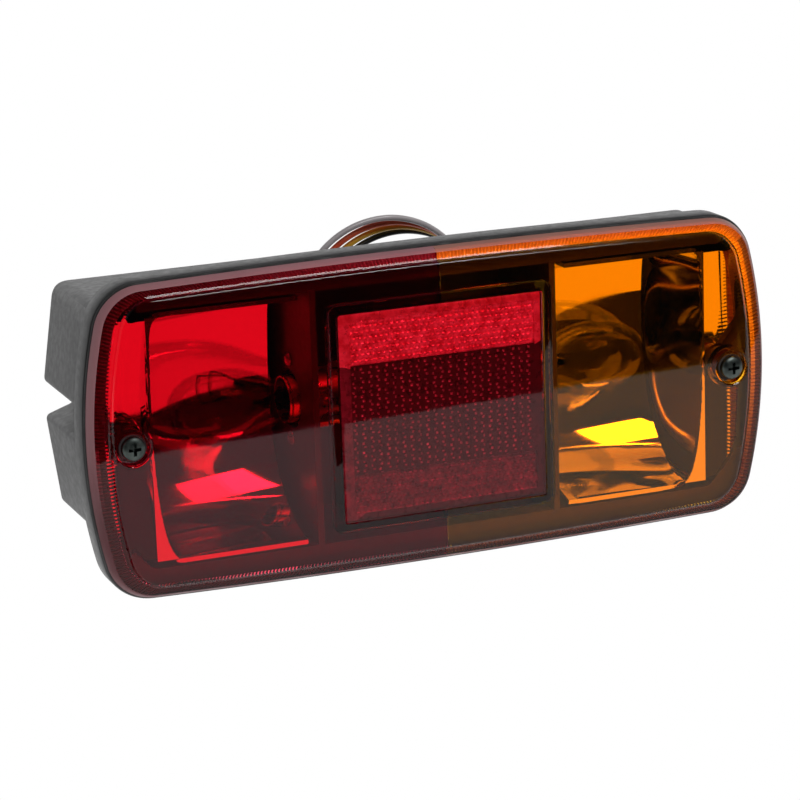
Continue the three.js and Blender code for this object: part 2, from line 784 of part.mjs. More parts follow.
for (const { name, sign, pins, studs } of UNITS) {
  piece(`reflector_${name}`, sign < 0 ? mirrored(tray(name)) : tray(name), chrome());
  const unit = new THREE.Group();
  unit.position.set(sign * SOCKET_X, BULB_Y, BULB_Z);
  unit.rotation.z = (-sign * Math.PI) / 2;
  lamp.add(unit);
  const spots = Object.values(studs);
  piece(`socket_${name}`, socketShell(pins), zincSteel(), unit);
  piece(`contact_carrier_${name}`, contactCarrier(spots), phenolic(), unit);
  piece(`contact_spring_${name}`, contactSpring(), zincSteel(), unit);
  for (const [use, x] of Object.entries(studs)) {
    piece(`contact_${name}_${use}`, contactStud(x), brass(), unit);
  }
  piece(`bulb_cap_${name}`, bulbCap(pins), brass(), unit);
  piece(`bulb_insulator_${name}`, capInsulator(spots), finish(0x15171c, 0.2), unit);
  piece(`bulb_glass_${name}`, bulbGlass(), clearGlass(), unit);
  piece(`bulb_filament_${name}`, bulbFilament(), finish(0x8d8f94, 0.3, 1), unit);
  for (const [place, s] of Object.entries({ upper: 1, lower: -1 })) {
    const rivet = piece(`socket_rivet_${name}_${place}`, socketRivet(), zincSteel(), unit);
    rivet.position.z = s * RIVET_OFFSET;
  }
}

piece("earth_strip", earthStrip(), brass());
piece("cable_grommet", grommet(), blackRubber());
for (const wire of LEADS) piece(wire.name, lead(wire), finish(wire.color, 0.5));

export default lamp;
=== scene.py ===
from math import acos, atan2, cos, degrees, dist, floor, hypot, pi, radians, sin, sqrt, tan

import bmesh
import bpy
import numpy as np
from mathutils import Matrix, Vector

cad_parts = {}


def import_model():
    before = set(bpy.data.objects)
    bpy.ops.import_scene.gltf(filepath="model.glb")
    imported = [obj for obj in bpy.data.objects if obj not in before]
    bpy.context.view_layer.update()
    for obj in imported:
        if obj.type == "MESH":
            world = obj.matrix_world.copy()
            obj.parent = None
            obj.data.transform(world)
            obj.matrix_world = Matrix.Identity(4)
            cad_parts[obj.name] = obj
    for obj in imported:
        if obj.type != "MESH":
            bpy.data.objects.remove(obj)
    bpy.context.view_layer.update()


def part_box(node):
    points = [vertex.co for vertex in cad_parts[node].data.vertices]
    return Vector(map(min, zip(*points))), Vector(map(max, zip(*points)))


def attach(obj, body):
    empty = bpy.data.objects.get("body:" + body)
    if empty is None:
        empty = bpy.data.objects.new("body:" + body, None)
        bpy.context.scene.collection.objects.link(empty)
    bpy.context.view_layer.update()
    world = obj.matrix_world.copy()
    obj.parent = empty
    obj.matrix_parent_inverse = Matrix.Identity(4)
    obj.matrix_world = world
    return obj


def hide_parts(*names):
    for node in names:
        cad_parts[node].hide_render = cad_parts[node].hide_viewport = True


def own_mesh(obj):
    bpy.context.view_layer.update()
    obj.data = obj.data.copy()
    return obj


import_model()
MM = 0.001


def box_mm(node):
    low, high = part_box(node)
    return [v / MM for v in low], [v / MM for v in high]


# ---- Sizes taken from the frame ----
HOUSING_LOW, HOUSING_HIGH = box_mm("housing")
GASKET_LOW, GASKET_HIGH = box_mm("lens_gasket")
REFLEX_LOW, REFLEX_HIGH = box_mm("reflex_reflector")

HALF_LENGTH = HOUSING_HIGH[0]
HALF_HEIGHT = HOUSING_HIGH[2]
SEAT_Y = GASKET_HIGH[1]
LENS_BACK = GASKET_LOW[1]
REFLEX_FRONT = REFLEX_LOW[1]
PANEL_FRONT = REFLEX_FRONT + 0.7

# ---- Shapes the box sizes can't give ----
END_BOW = 8.2
TOP_BOW = 1.85
CORNER_R = 15.6
FLANGE_DEPTH = 8.5
WALL = 2.5
REAR_WALL = 3.4
BODY_TOP = 42
RIM_FRONT = PANEL_FRONT + 2.1
PANEL_SKIN = 2.4
PANEL_INSET = (8, 5.3)
SCREW_X = 98.5
BOLT_X = 62
BULB_Y, BULB_Z = -22, 2
SOCKET_X = 18
RIB_PITCH = 1.15
RIB_DEPTH = 0.55
TRAY_X = (43.6, 84, 91.5)  # inner end, end of the floor and outer lip, by |x|
TRAY_HALF_HEIGHT = 37.3
TROUGH_FLOOR = -9.3
GROMMET = (-12, 14)
RIVET_OFFSET = 12.5
SIDES = (("left", -1), ("right", 1))
UNITS = (("red", -1), ("amber", 1))


# ---- Mesh helpers ----
def make(name, verts, faces, finish, smooth=32):
    """A mesh object from millimetre points, smooth shaded up to the given edge angle."""
    mesh = bpy.data.meshes.new(name)
    mesh.from_pydata([tuple(c * MM for c in v) for v in verts], [], faces)
    mesh.validate()
    obj = bpy.data.objects.new(name, mesh)
    bpy.context.collection.objects.link(obj)
    tidy_normals(obj)
    shade(obj, smooth)
    if finish:
        mesh.materials.append(MATERIAL[finish])
    return obj


def tidy_normals(obj):
    bm = bmesh.new()
    bm.from_mesh(obj.data)
    bmesh.ops.remove_doubles(bm, verts=bm.verts, dist=1e-7)
    bmesh.ops.recalc_face_normals(bm, faces=bm.faces)
    bm.to_mesh(obj.data)
    bm.free()


def shade(obj, angle):
    mesh = obj.data
    mesh.polygons.foreach_set("use_smooth", [angle > 0] * len(mesh.polygons))
    if angle > 0:
        mesh.set_sharp_from_angle(angle=radians(angle))


def bake_modifiers(obj):
    graph = bpy.context.evaluated_depsgraph_get()
    graph.update()
    mesh = bpy.data.meshes.new_from_object(obj.evaluated_get(graph))
    obj.modifiers.clear()
    obj.data = mesh


def combine(base, tools, operation, smooth=32):
    """Joins or cuts base with each tool in turn and removes the tools."""
    for tool in tools:
        modifier = base.modifiers.new("cut", "BOOLEAN")
        modifier.operation = operation
        modifier.solver = "EXACT"
        modifier.object = tool
    bake_modifiers(base)
    for tool in tools:
        bpy.data.objects.remove(tool)
    shade(base, smooth)
    return base


def bevel(obj, width, segments):
    modifier = obj.modifiers.new("bevel", "BEVEL")
    modifier.width = width * MM
    modifier.segments = segments
    modifier.limit_method = "ANGLE"
    modifier.angle_limit = radians(60)
    modifier.harden_normals = False
    bake_modifiers(obj)
    shade(obj, 32)


def loft(name, rings, finish=None, smooth=32, closed=False, split=False):
    """Skins equal rings of points; capped at both ends unless the rings close on themselves.
    A split ring's last point isn't joined to its first."""
    count = len(rings[0])
    verts = [p for ring in rings for p in ring]
    faces = []
    rows = len(rings)
    for i in range(rows if closed else rows - 1):
        a, b = i * count, ((i + 1) % rows) * count
        for j in range(count - 1 if split else count):
            k = (j + 1) % count
            faces.append((a + j, a + k, b + k, b + j))
    if not closed:
        faces.append(tuple(range(count)))
        faces.append(tuple(range((rows - 1) * count, rows * count)))
    return make(name, verts, faces, finish, smooth)


def moved(place, points):
    return [tuple(place @ Vector(p)) for p in points]


def lathe(name, profile, finish=None, sides=64, place=None, smooth=32):
    """Turns [radius, height] points about Y. place maps a point to where the piece stands."""
    rings = []
    for i in range(sides):
        a = 2 * pi * i / sides
        ring = [(r * cos(a), h, r * sin(a)) for r, h in profile]
        rings.append(moved(place or Matrix.Identity(4), ring))
    open_ends = profile[0][0] < 1e-6 and profile[-1][0] < 1e-6
    return loft(name, rings, finish, smooth, True, open_ends)


def rod(radius, y0, y1, sides, place):
    return lathe("tool", [(0, y0), (radius, y0), (radius, y1), (0, y1)], None, sides, place)


def sweep(name, path, radius, finish, sides):
    """A round bar along a list of points, with a frame carried along it."""
    points = [Vector(p) for p in path]
    ends = [points[0], *points, points[-1]]
    tangents = [(after - before).normalized() for before, after in zip(ends, ends[2:])]
    side = tangents[0].orthogonal().normalized()
    rings = []
    for point, tangent in zip(points, tangents):
        side = (side - tangent * side.dot(tangent)).normalized()
        up = tangent.cross(side)
        ring = []
        for k in range(sides):
            a = 2 * pi * k / sides
            ring.append(tuple(point + side * (radius * cos(a)) + up * (radius * sin(a))))
        rings.append(ring)
    return loft(name, rings, finish, 60)


def smooth_path(points, per_span):
    """Centripetal Catmull-Rom points through the given ones."""
    pts = [Vector(p) for p in points]
    pts = [pts[0] * 2 - pts[1]] + pts + [pts[-1] * 2 - pts[-2]]
    out = []
    for i in range(1, len(pts) - 2):
        spans = pts[i - 1 : i + 3]
        knots = [0.0]
        for a, b in zip(spans, spans[1:]):
            knots.append(knots[-1] + (b - a).length ** 0.5)
        for s in range(per_span):
            t = knots[1] + (knots[2] - knots[1]) * s / per_span
            level = spans
            for reach in (1, 2):
                pairs = enumerate(zip(level, level[1:]))
                level = [between(knots, k, k + reach, t, a, b) for k, (a, b) in pairs]
            out.append(between(knots, 1, 2, t, *level))
    out.append(pts[-2])
    return out


def between(knots, low, high, t, first, second):
    share = (t - knots[low]) / (knots[high] - knots[low])
    return first * (1 - share) + second * share


def cylinder_y(x, z, radius, y0, y1, sides=64):
    return rod(radius, y0, y1, sides, Matrix.Translation((x, 0, z)))


def block(x0, x1, y0, y1, z0, z1):
    verts = [(x, y, z) for x in (x0, x1) for y in (y0, y1) for z in (z0, z1)]
    faces = [(0, 1, 3, 2), (4, 6, 7, 5), (0, 4, 5, 1), (2, 3, 7, 6), (0, 2, 6, 4), (1, 5, 7, 3)]
    return make("tool", verts, faces, None, 0)


def prism_y(outline_xz, y0, y1):
    return loft("tool", [[(x, y, z) for x, z in outline_xz] for y in (y0, y1)])


def socket_axis(sign, x=0):
    """Turns a piece drawn along +Y to lie along the bulb's axis, outwards from the middle."""
    turn = Matrix.Rotation(-sign * pi / 2, 4, "Z")
    return Matrix.Translation((sign * x, BULB_Y, BULB_Z)) @ turn


def unit_place(sign):
    """Puts a piece drawn standing on its closed end in the socket of that side."""
    return socket_axis(sign, SOCKET_X)


# ---- Outlines ----
def arc_radius(half, bow):
    return (half * half + bow * bow) / (2 * bow)


ARC_STEPS = (40, 20, 24)  # along half of the top, round a corner and down half of an end


def outline(inset_x, inset_z=None, corner=None):
    """The lamp's front outline, drawn in by the insets, from the bottom centre round to the left."""
    inset_z = inset_x if inset_z is None else inset_z
    corner = CORNER_R - inset_x if corner is None else corner
    end_r, long_r = arc_radius(HALF_HEIGHT, END_BOW), arc_radius(HALF_LENGTH, TOP_BOW)
    end_c, long_c = HALF_LENGTH - end_r, HALF_HEIGHT - long_r
    a, b = end_r - inset_x - corner, long_r - inset_z - corner
    base = hypot(end_c, long_c)
    along = (a * a - b * b + base * base) / (2 * base)
    off = sqrt(a * a - along * along)
    ux, uz = -end_c / base, long_c / base
    cx = end_c + ux * along - uz * off
    cz = uz * along + ux * off
    low = atan2(cz, cx - end_c)
    high = atan2(cz - long_c, cx)

    def arc(ox, oz, r, start, stop, n):
        steps = [start + (stop - start) * i / n for i in range(n)]
        return [(ox + r * cos(t), oz + r * sin(t)) for t in steps]

    # One quarter, from the top centre to the right end, is mirrored into the whole loop.
    quarter = arc(0, long_c, long_r - inset_z, pi / 2, high, ARC_STEPS[0])
    quarter += arc(cx, cz, corner, high, low, ARC_STEPS[1])
    quarter += arc(end_c, 0, end_r - inset_x, low, 0, ARC_STEPS[2])
    quarter.append((end_c + end_r - inset_x, 0))
    loop = [(-x, -z) for x, z in quarter] + [(-x, z) for x, z in quarter[-2::-1]]
    return loop + quarter[1:] + [(x, -z) for x, z in quarter[-2:0:-1]]


def outlines(section):
    """A section of [inset, y] points carried round the outline."""
    return [[(x, y, z) for x, z in outline(inset)] for inset, y in section]


def half_outline(*args, **more):
    """The left half of the outline, from bottom centre to top centre."""
    loop = outline(*args, **more)
    return loop[: len(loop) // 2 + 1]


def resample(points, count):
    pts = np.array(points)
    step = np.hypot(*np.diff(pts, axis=0).T)
    length = np.concatenate([[0], np.cumsum(step)])
    even = np.linspace(0, length[-1], count)
    return np.stack([np.interp(even, length, pts[:, k]) for k in (0, 1)], axis=1)


def rounded(corners, n=8):
    """A polygon of [x, y, radius] corners with each corner turned into a smooth curve."""
    out = []
    count = len(corners)
    for i, (x, y, radius) in enumerate(corners):
        here = Vector((x, y))
        back = (Vector(corners[i - 1][:2]) - here).normalized()
        ahead = (Vector(corners[(i + 1) % count][:2]) - here).normalized()
        if radius <= 0:
            out.append((x, y))
            continue
        half = acos(max(-1, min(1, back.dot(ahead)))) / 2
        reach = radius / tan(half)
        start, end = here + back * reach, here + ahead * reach
        for k in range(n + 1):
            t = k / n
            p = start * (1 - t) ** 2 + here * (2 * t * (1 - t)) + end * t**2
            out.append((p.x, p.y))
    return out


def rectangle(half_x, half_z, radius):
    corners = ((-half_x, -half_z), (half_x, -half_z), (half_x, half_z), (-half_x, half_z))
    return rounded([(x, z, radius) for x, z in corners])


def body_corners(wall):
    half = [
        (107 - wall * 0.9, BODY_TOP - wall, 5.5 - wall),
        (111.7 - wall * 0.95, 11.9 + wall * 1.2, 2.4),
        (102.6 - wall * 1.35, 4, 1),
        (111.8 - wall * 0.95, 0.9 - wall * 0.75, 2),
        (108.4 - wall * 1.05, -26.5 + wall * 0.3, 3),
        (93.5 - wall * 0.35, wall - BODY_TOP, 4),
    ]
    return [(-x, z, r) for x, z, r in half] + half[::-1]


# ---- Materials ----
class Nodes:
    """Adds nodes to a material's or a world's tree."""

    def __init__(self, tree):
        self.tree = tree

    def node(self, kind, **values):
        made = self.tree.nodes.new(kind)
        for key, value in values.items():
            setattr(made, key, value)
        return made

    def link(self, source, target):
        self.tree.links.new(source, target)

    def split(self, source):
        axes = self.node("ShaderNodeSeparateXYZ")
        self.link(source, axes.inputs["Vector"])
        return axes.outputs

    def maths(self, operation, first, second):
        """A sum on two sockets, or on a socket and a number."""
        made = self.node("ShaderNodeMath", operation=operation)
        self.link(first, made.inputs[0])
        if isinstance(second, (int, float)):
            made.inputs[1].default_value = second
        else:
            self.link(second, made.inputs[1])
        return made.outputs["Value"]

    def ramp(self, source, low, high, start=0.35, stop=0.65):
        made = self.node("ShaderNodeMapRange")
        limits = {"From Min": start, "From Max": stop, "To Min": low, "To Max": high}
        for key, value in limits.items():
            made.inputs[key].default_value = value
        self.link(source, made.inputs["Value"])
        return made.outputs["Result"]

    def blend(self, factor, first, second, output):
        made = self.node("ShaderNodeMixShader")
        for source, target in zip((factor, first, second), made.inputs):
            self.link(source, target)
        self.link(made.outputs["Shader"], output.inputs["Surface"])


class Paint(Nodes):
    """A node material built from a Principled shader and a few procedural layers."""

    def __init__(self, name, color, rough, metal=0.0):
        self.material = bpy.data.materials.new(name)
        self.material.use_nodes = True
        super().__init__(self.material.node_tree)
        self.shader = self.tree.nodes["Principled BSDF"]
        self.output = self.tree.nodes["Material Output"]
        self.set(Base_Color=(*color, 1), Roughness=rough, Metallic=metal)
        self.color = color
        self.coords = self.node("ShaderNodeTexCoord").outputs["Object"]
        self.height = None

    def noise(self, scale, detail=3.0):
        made = self.node("ShaderNodeTexNoise")
        made.inputs["Scale"].default_value = scale
        made.inputs["Detail"].default_value = detail
        self.link(self.coords, made.inputs["Vector"])
        return made.outputs["Fac"]

    def across(self, share_x, share_z, start, stop):
        """Rises from nought to one along a slant over the lamp, in shares of its half sizes."""
        axes = self.split(self.coords)
        terms = []
        for axis, share, half in (("X", share_x, HALF_LENGTH), ("Z", share_z, HALF_HEIGHT)):
            terms.append(self.maths("MULTIPLY", axes[axis], share / (half * MM)))
        return self.ramp(self.maths("ADD", *terms), 0, 1, start, stop)

    def shaded(self, light, dark, lit):
        self.link(self.mix(light, dark, lit), self.shader.inputs["Base Color"])

    def see_through(self, tint):
        made = self.node("ShaderNodeBsdfTransparent")
        made.inputs["Color"].default_value = (*tint, 1)
        return made.outputs["BSDF"]

    def mix(self, factor, first, second):
        made = self.node("ShaderNodeMix", data_type="RGBA")
        made.inputs["A"].default_value = (*first, 1)
        made.inputs["B"].default_value = (*second, 1)
        self.link(factor, made.inputs["Factor"])
        return made.outputs["Result"]

    def tint(self, second, scale):
        self.shaded(self.ramp(self.noise(scale), 0, 1), self.color, second)
        return self

    def roughen(self, low, high, scale):
        self.link(self.ramp(self.noise(scale), low, high), self.shader.inputs["Roughness"])
        return self

    def bump(self, scale, strength, distance):
        made = self.node("ShaderNodeBump")
        made.inputs["Strength"].default_value = strength
        made.inputs["Distance"].default_value = distance * MM
        self.link(self.noise(scale, 4.0), made.inputs["Height"])
        self.height = made.outputs["Normal"]
        self.link(self.height, self.shader.inputs["Normal"])
        return self

    def set(self, **values):
        for key, value in values.items():
            self.shader.inputs[key.replace("_", " ")].default_value = value


LENS_IOR = 1.33  # under acrylic's 1.49, which keeps the mirror image of the table faint


def clear_plastic(name, tint, rough=0.015, gloss=0.07, clear=1.0):
    """Tinted clear plastic that refracts, and lets lamps light what is behind it."""
    paint = Paint(name, tint, rough)
    paint.set(Transmission_Weight=clear, IOR=LENS_IOR, Specular_IOR_Level=gloss)
    paint.roughen(rough, rough * 2.5, 60).bump(35, 0.04, 0.2)
    shadow = paint.node("ShaderNodeLightPath").outputs["Is Shadow Ray"]
    paint.blend(shadow, paint.shader.outputs["BSDF"], paint.see_through(tint), paint.output)
    return paint


def rib_finish(name, dark, lit):
    """The frosted ribs behind the rim. Their colour is painted light along the top and the right end,
    and painted shade towards the bottom and the left end.
    """
    paint = Paint(name, lit, 0.3, 0.3)
    paint.shaded(paint.across(0.8, 1.0, 0.1, 0.95), dark, lit)
    return paint.roughen(0.22, 0.4, 300).bump(800, 0.15, 0.05)


def edge_finish(name, dark, lit):
    """The lens's scuffed side wall. Its colour is painted light and made clearer along the top and the
    left end, and painted shade towards the bottom and the right end.
    """
    paint = clear_plastic(name, lit, 0.3, 0.5, 0.5)
    light = paint.across(-0.15, 1.0, -0.3, 1.0)
    paint.shaded(light, dark, lit)
    paint.link(paint.maths("MULTIPLY", light, 0.5), paint.shader.inputs["Transmission Weight"])
    return paint


def thin_glass(name, tint):
    """Blown glass, too thin to bend what is seen through it."""
    paint = Paint(name, tint, 0.02).bump(60, 0.05, 0.1)
    gleam = paint.node("ShaderNodeBsdfGlossy")
    gleam.inputs["Roughness"].default_value = 0.03
    paint.link(paint.height, gleam.inputs["Normal"])
    facing = paint.node("ShaderNodeFresnel")
    facing.inputs["IOR"].default_value = 1.45
    mirrored = paint.ramp(facing.outputs["Fac"], 0.0, 0.2, 0.02, 1.0)
    paint.blend(mirrored, paint.see_through(tint), gleam.outputs["BSDF"], paint.output)
    return paint


# Colour, roughness and metal, then the second colour and the scale of its mottling, the range and
# the scale of the roughness, and the scale, strength and depth in millimetres of the bumps.
FINISHES = {
    "black_plastic": ((0.030, 0.030, 0.031), 0.42, 0, ((0.034, 0.034, 0.035), 380), (0.38, 0.48, 500),
                      (2600, 0.25, 0.04)),
    "rubber": ((0.012, 0.012, 0.012), 0.7, 0, ((0.02, 0.02, 0.02), 70), (0.6, 0.85, 160),
               (900, 0.25, 0.06)),
    "chrome": ((0.9, 0.9, 0.91), 0.03, 1, None, (0.02, 0.07, 45), (26, 0.10, 0.25)),
    "zinc_steel": ((0.66, 0.66, 0.63), 0.3, 1, ((0.56, 0.57, 0.58), 160), (0.22, 0.42, 300),
                   (700, 0.12, 0.04)),
    "black_zinc": ((0.042, 0.050, 0.047), 0.34, 1, ((0.08, 0.094, 0.087), 320), (0.28, 0.5, 420),
                   (1200, 0.2, 0.03)),
    "spring_steel": ((0.52, 0.52, 0.52), 0.25, 1, ((0.4, 0.4, 0.42), 400), (0.18, 0.38, 500), None),
    "brass": ((0.74, 0.52, 0.22), 0.24, 1, ((0.62, 0.42, 0.18), 150), (0.18, 0.36, 260),
              (600, 0.1, 0.03)),
    "phenolic": ((0.10, 0.045, 0.022), 0.5, 0, ((0.15, 0.07, 0.03), 240), (0.4, 0.6, 300),
                 (900, 0.2, 0.04)),
    "black_glass": ((0.01, 0.01, 0.014), 0.12, 0, ((0.018, 0.016, 0.03), 200), None, (300, 0.1, 0.05)),
    "filament": ((0.34, 0.34, 0.36), 0.35, 1, ((0.25, 0.25, 0.28), 800), (0.25, 0.45, 900), None),
    "solder": ((0.6, 0.6, 0.62), 0.35, 1, None, (0.25, 0.5, 500), (500, 0.2, 0.05)),
    "copper": ((0.80, 0.38, 0.22), 0.3, 1, ((0.62, 0.28, 0.16), 500), (0.22, 0.45, 600), None),
}
# The reflex plate's back fields, each with a colour, a second colour and a roughness. Their brightness
# is painted: the top field of scales painted light, the bottom field less bright, the middle field
# painted shade, and the paired dots painted glints.
REFLEX_FIELDS = {
    "reflex_lit_scales": ((0.90, 0.34, 0.38), (0.60, 0.10, 0.13), 0.3),
    "reflex_low": ((0.20, 0.07, 0.09), (0.09, 0.03, 0.04), 0.3),
    "reflex_shaded_middle": ((0.060, 0.012, 0.015), (0.040, 0.008, 0.01), 0.3),
    "reflex_glint": ((0.46, 0.22, 0.24), (0.26, 0.10, 0.12), 0.35),
}
WIRES = {
    "wire_grey": ((0.46, 0.42, 0.43), (0.38, 0.35, 0.36)),
    "wire_orange": ((0.72, 0.10, 0.035), (0.6, 0.07, 0.025)),
    "wire_yellow": ((0.74, 0.42, 0.03), (0.62, 0.35, 0.025)),
    "wire_black": ((0.012, 0.012, 0.014), (0.022, 0.022, 0.026)),
}


def layered(name, color, rough, metal, mottling, spread, grain):
    paint = Paint(name, color, rough, metal)
    for add, values in ((paint.tint, mottling), (paint.roughen, spread), (paint.bump, grain)):
        if values:
            add(*values)
    return paint


def materials():
    rows = dict(FINISHES)
    for name, (color, second, rough) in REFLEX_FIELDS.items():
        spread = (rough * 0.7, rough * 1.5, 500)
        rows[name] = (color, rough, 0.45, (second, 420), spread, (900, 0.15, 0.05))
    for name, (color, second) in WIRES.items():
        rows[name] = (color, 0.34, 0, (second, 140), (0.28, 0.45, 260), (500, 0.12, 0.05))
    paints = {name: layered(name, *row) for name, row in rows.items()}
    for name, tint in (
        ("red_lens", (0.84, 0.045, 0.095)),
        ("amber_lens", (0.99, 0.47, 0.02)),
        ("reflex_red", (0.86, 0.05, 0.10)),
    ):
        paints[name] = clear_plastic(name, tint)
    # The side walls' and ribs' dark and lit colours are painted shade and painted light, mixed by where
    # they lie on the lamp.
    for build, name, dark, lit in (
        (edge_finish, "red_edge", (0.10, 0.025, 0.03), (0.62, 0.30, 0.33)),
        (edge_finish, "amber_edge", (0.12, 0.035, 0.03), (0.60, 0.28, 0.23)),
        (rib_finish, "red_ribs", (0.10, 0.020, 0.025), (0.42, 0.14, 0.16)),
        (rib_finish, "amber_ribs", (0.22, 0.07, 0.03), (0.95, 0.48, 0.25)),
    ):
        paints[name] = build(name, dark, lit)
    paints["clear_glass"] = thin_glass("clear_glass", (0.97, 0.98, 0.98))
    return {name: paint.material for name, paint in paints.items()}


MATERIAL = materials()


def paint_faces(obj, extra, finish):
    """Gives each face a finish: nought is the object's own material, then the extra ones."""
    for material in extra:
        obj.data.materials.append(material)
    assert len(obj.data.polygons) == len(finish)
    obj.data.polygons.foreach_set("material_index", finish)


def settle(obj, node, body="housing_body"):
    """Stands a finished piece in for a CAD node on its body."""
    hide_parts(node)
    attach(obj, body)


# ---- Housing and gasket ----
PARTITION_X = (38.3, 40.3)  # faces of the wall between each bay and the middle, by |x|
BOSS_R, PILOT_R, PILOT_END = 5, 2.3, -28.2
BOLT_HOLE_R, CABLE_HOLE_R = 3.3, 6
DRAIN_R, DRAIN_X, DRAIN_Y = 2, 70, -30
PAD_R, CABLE_PAD_R, CENTRE_PAD_R = 12, 10, 8  # raised pads of the back, all in the mounting plane
BACK_RIBS = (-31, 31, -87, 87)
RECESS = 1.2  # how far the rest of the back lies in from its pads and ribs


def build_housing():
    edge = 0.7
    back = SEAT_Y + FLANGE_DEPTH
    section = [(edge, SEAT_Y), (0.2, SEAT_Y + 0.2), (0, SEAT_Y + edge)]
    section += [(0, back - edge), (0.2, back - 0.2), (edge, back)]
    flange = loft("housing_shell", outlines(section), "black_plastic")
    body = prism_y(rounded(body_corners(0)), SEAT_Y + 4, 0)
    bevel(body, 1.1, 3)
    cavity = prism_y(rounded(body_corners(WALL)), SEAT_Y - 1, -REAR_WALL)
    shell = combine(flange, [body], "UNION")
    combine(shell, [cavity], "DIFFERENCE")
    inner_z = BODY_TOP - WALL + 0.5
    inside = -REAR_WALL + 0.5
    adds = []
    for _, sign in SIDES:
        low, high = sorted(sign * x for x in PARTITION_X)
        wall = block(low, high, SEAT_Y - 0.3, inside, -inner_z, inner_z)
        holes = [rod(9.2, 30, 42, 64, socket_axis(sign))]
        for dz in (-RIVET_OFFSET, RIVET_OFFSET):
            holes.append(rod(1.4, 30, 42, 16, Matrix.Translation((0, 0, dz)) @ socket_axis(sign)))
        combine(wall, holes, "DIFFERENCE")
        adds.append(wall)
        adds.append(cylinder_y(sign * SCREW_X, 0, BOSS_R, SEAT_Y - 0.3, inside))
        low, high = sorted((sign * SCREW_X, sign * 108))
        adds.append(block(low, high, SEAT_Y + 2, inside, -1, 1))
    combine(shell, adds, "UNION")
    cuts = []
    for _, sign in SIDES:
        cuts.append(cylinder_y(sign * SCREW_X, 0, PILOT_R, SEAT_Y - 2, PILOT_END, 32))
        cuts.append(cylinder_y(sign * BOLT_X, 0, BOLT_HOLE_R, -5, 1, 32))
        down = Matrix.Rotation(pi / 2, 4, "X")
        place = Matrix.Translation((sign * DRAIN_X, DRAIN_Y, 0)) @ down
        cuts.append(rod(DRAIN_R, -BODY_TOP - 4, -BODY_TOP + 4, 24, place))
    cuts.append(cylinder_y(*GROMMET, CABLE_HOLE_R, -5, 1))
    combine(shell, cuts, "DIFFERENCE")
    recess = prism_y(rectangle(97, 35, 5), -RECESS, 1)
    keep = [cylinder_y(0, 0, CENTRE_PAD_R, -3, 2), cylinder_y(*GROMMET, CABLE_PAD_R, -3, 2)]
    keep += [cylinder_y(sign * BOLT_X, 0, PAD_R, -3, 2) for _, sign in SIDES]
    keep += [block(x - 1, x + 1, -3, 2, -36, 36) for x in BACK_RIBS]
    combine(recess, keep, "DIFFERENCE")
    combine(shell, [recess], "DIFFERENCE")
    settle(shell, "housing")


def build_gasket():
    section = (
        (0.9, SEAT_Y), (0.5, SEAT_Y - 0.25), (0.5, LENS_BACK + 0.25), (0.9, LENS_BACK),
        (2.8, LENS_BACK), (3.1, LENS_BACK + 0.25), (3.1, SEAT_Y - 0.25), (2.8, SEAT_Y),
    )
    ring = loft("gasket_ring", outlines(section), "rubber", closed=True)
    settle(ring, "lens_gasket")


# ---- Lens ----
RIB_POINTS = 4  # points along the outline for each rib


def lens_rings(points_per_half):
    """The closed section of the lens, as half outlines from bottom centre to top centre.
    The first ring is the panel's front edge and the last is its inner edge."""
    end_in, long_in = PANEL_INSET

    def ring(inset_x, y, inset_z=None, corner=None, wave=0.0):
        inset_z = inset_x if inset_z is None else inset_z
        pts = resample(half_outline(inset_x, inset_z, corner), points_per_half)
        out = []
        for i, (x, z) in enumerate(pts):
            ripple = abs((i / RIB_POINTS) % 1.0 - 0.5) * 2 * wave
            out.append((x, y + ripple, z))
        return out

    outer = [
        ring(end_in + 1.7, PANEL_FRONT, long_in + 1.7, 9.6),
        ring(end_in + 0.9, PANEL_FRONT, long_in + 0.9, 10.2),
        ring(end_in + 0.3, PANEL_FRONT + 0.12, long_in + 0.3, 10.7),
        ring(end_in - 0.2, PANEL_FRONT + 0.5, long_in - 0.2, 11.1),
        ring(end_in - 0.5, PANEL_FRONT + 1.1, long_in - 0.5, 11.3),
        ring(end_in - 0.7, RIM_FRONT - 0.4, long_in - 0.7, 11.5),
        ring(end_in - 1.2, RIM_FRONT, long_in - 1.2, 11.8),
        ring(3.3, RIM_FRONT, 2.8),
        ring(2.7, RIM_FRONT + 0.15, 2.3),
        ring(2.2, RIM_FRONT + 0.55, 1.9),
        ring(1.0, LENS_BACK - 0.5, 1.0),
        ring(0.9, LENS_BACK - 0.1, 0.9),
        ring(1.0, LENS_BACK, 1.0),
    ]
    under = RIM_FRONT + 1.0
    inner = [
        ring(2.0, LENS_BACK, 2.0),
        ring(2.1, LENS_BACK - 0.15, 2.1),
        ring(2.3, LENS_BACK - 0.2, 2.3, None, -RIB_DEPTH),
        ring(4.2, (LENS_BACK - 0.2 + under) / 2, 3.4, 12.4, -RIB_DEPTH),
        ring(6.0, under, long_in - 0.4, 11.8, -RIB_DEPTH),
        ring(end_in - 0.9, under - 0.35, long_in + 0.4, 11.2),
        ring(end_in + 1.8, PANEL_FRONT + PANEL_SKIN + 0.3, long_in + 1.9, 9.4),
        ring(end_in + 2.6, PANEL_FRONT + PANEL_SKIN, long_in + 2.5, 9),
        ring(end_in + 3.4, PANEL_FRONT + PANEL_SKIN, long_in + 3.3, 8.4),
    ]
    return outer + inner


SHADED_END = 104  # past here the amber half's outer ribs lie in shade, painted with the side wall's dark finish
EDGE_STRIPS = range(8, 11)  # the strips of the section that make its outer side wall
RIB_STRIPS = range(15, 17)  # the strips that carry the ribs, behind the rim


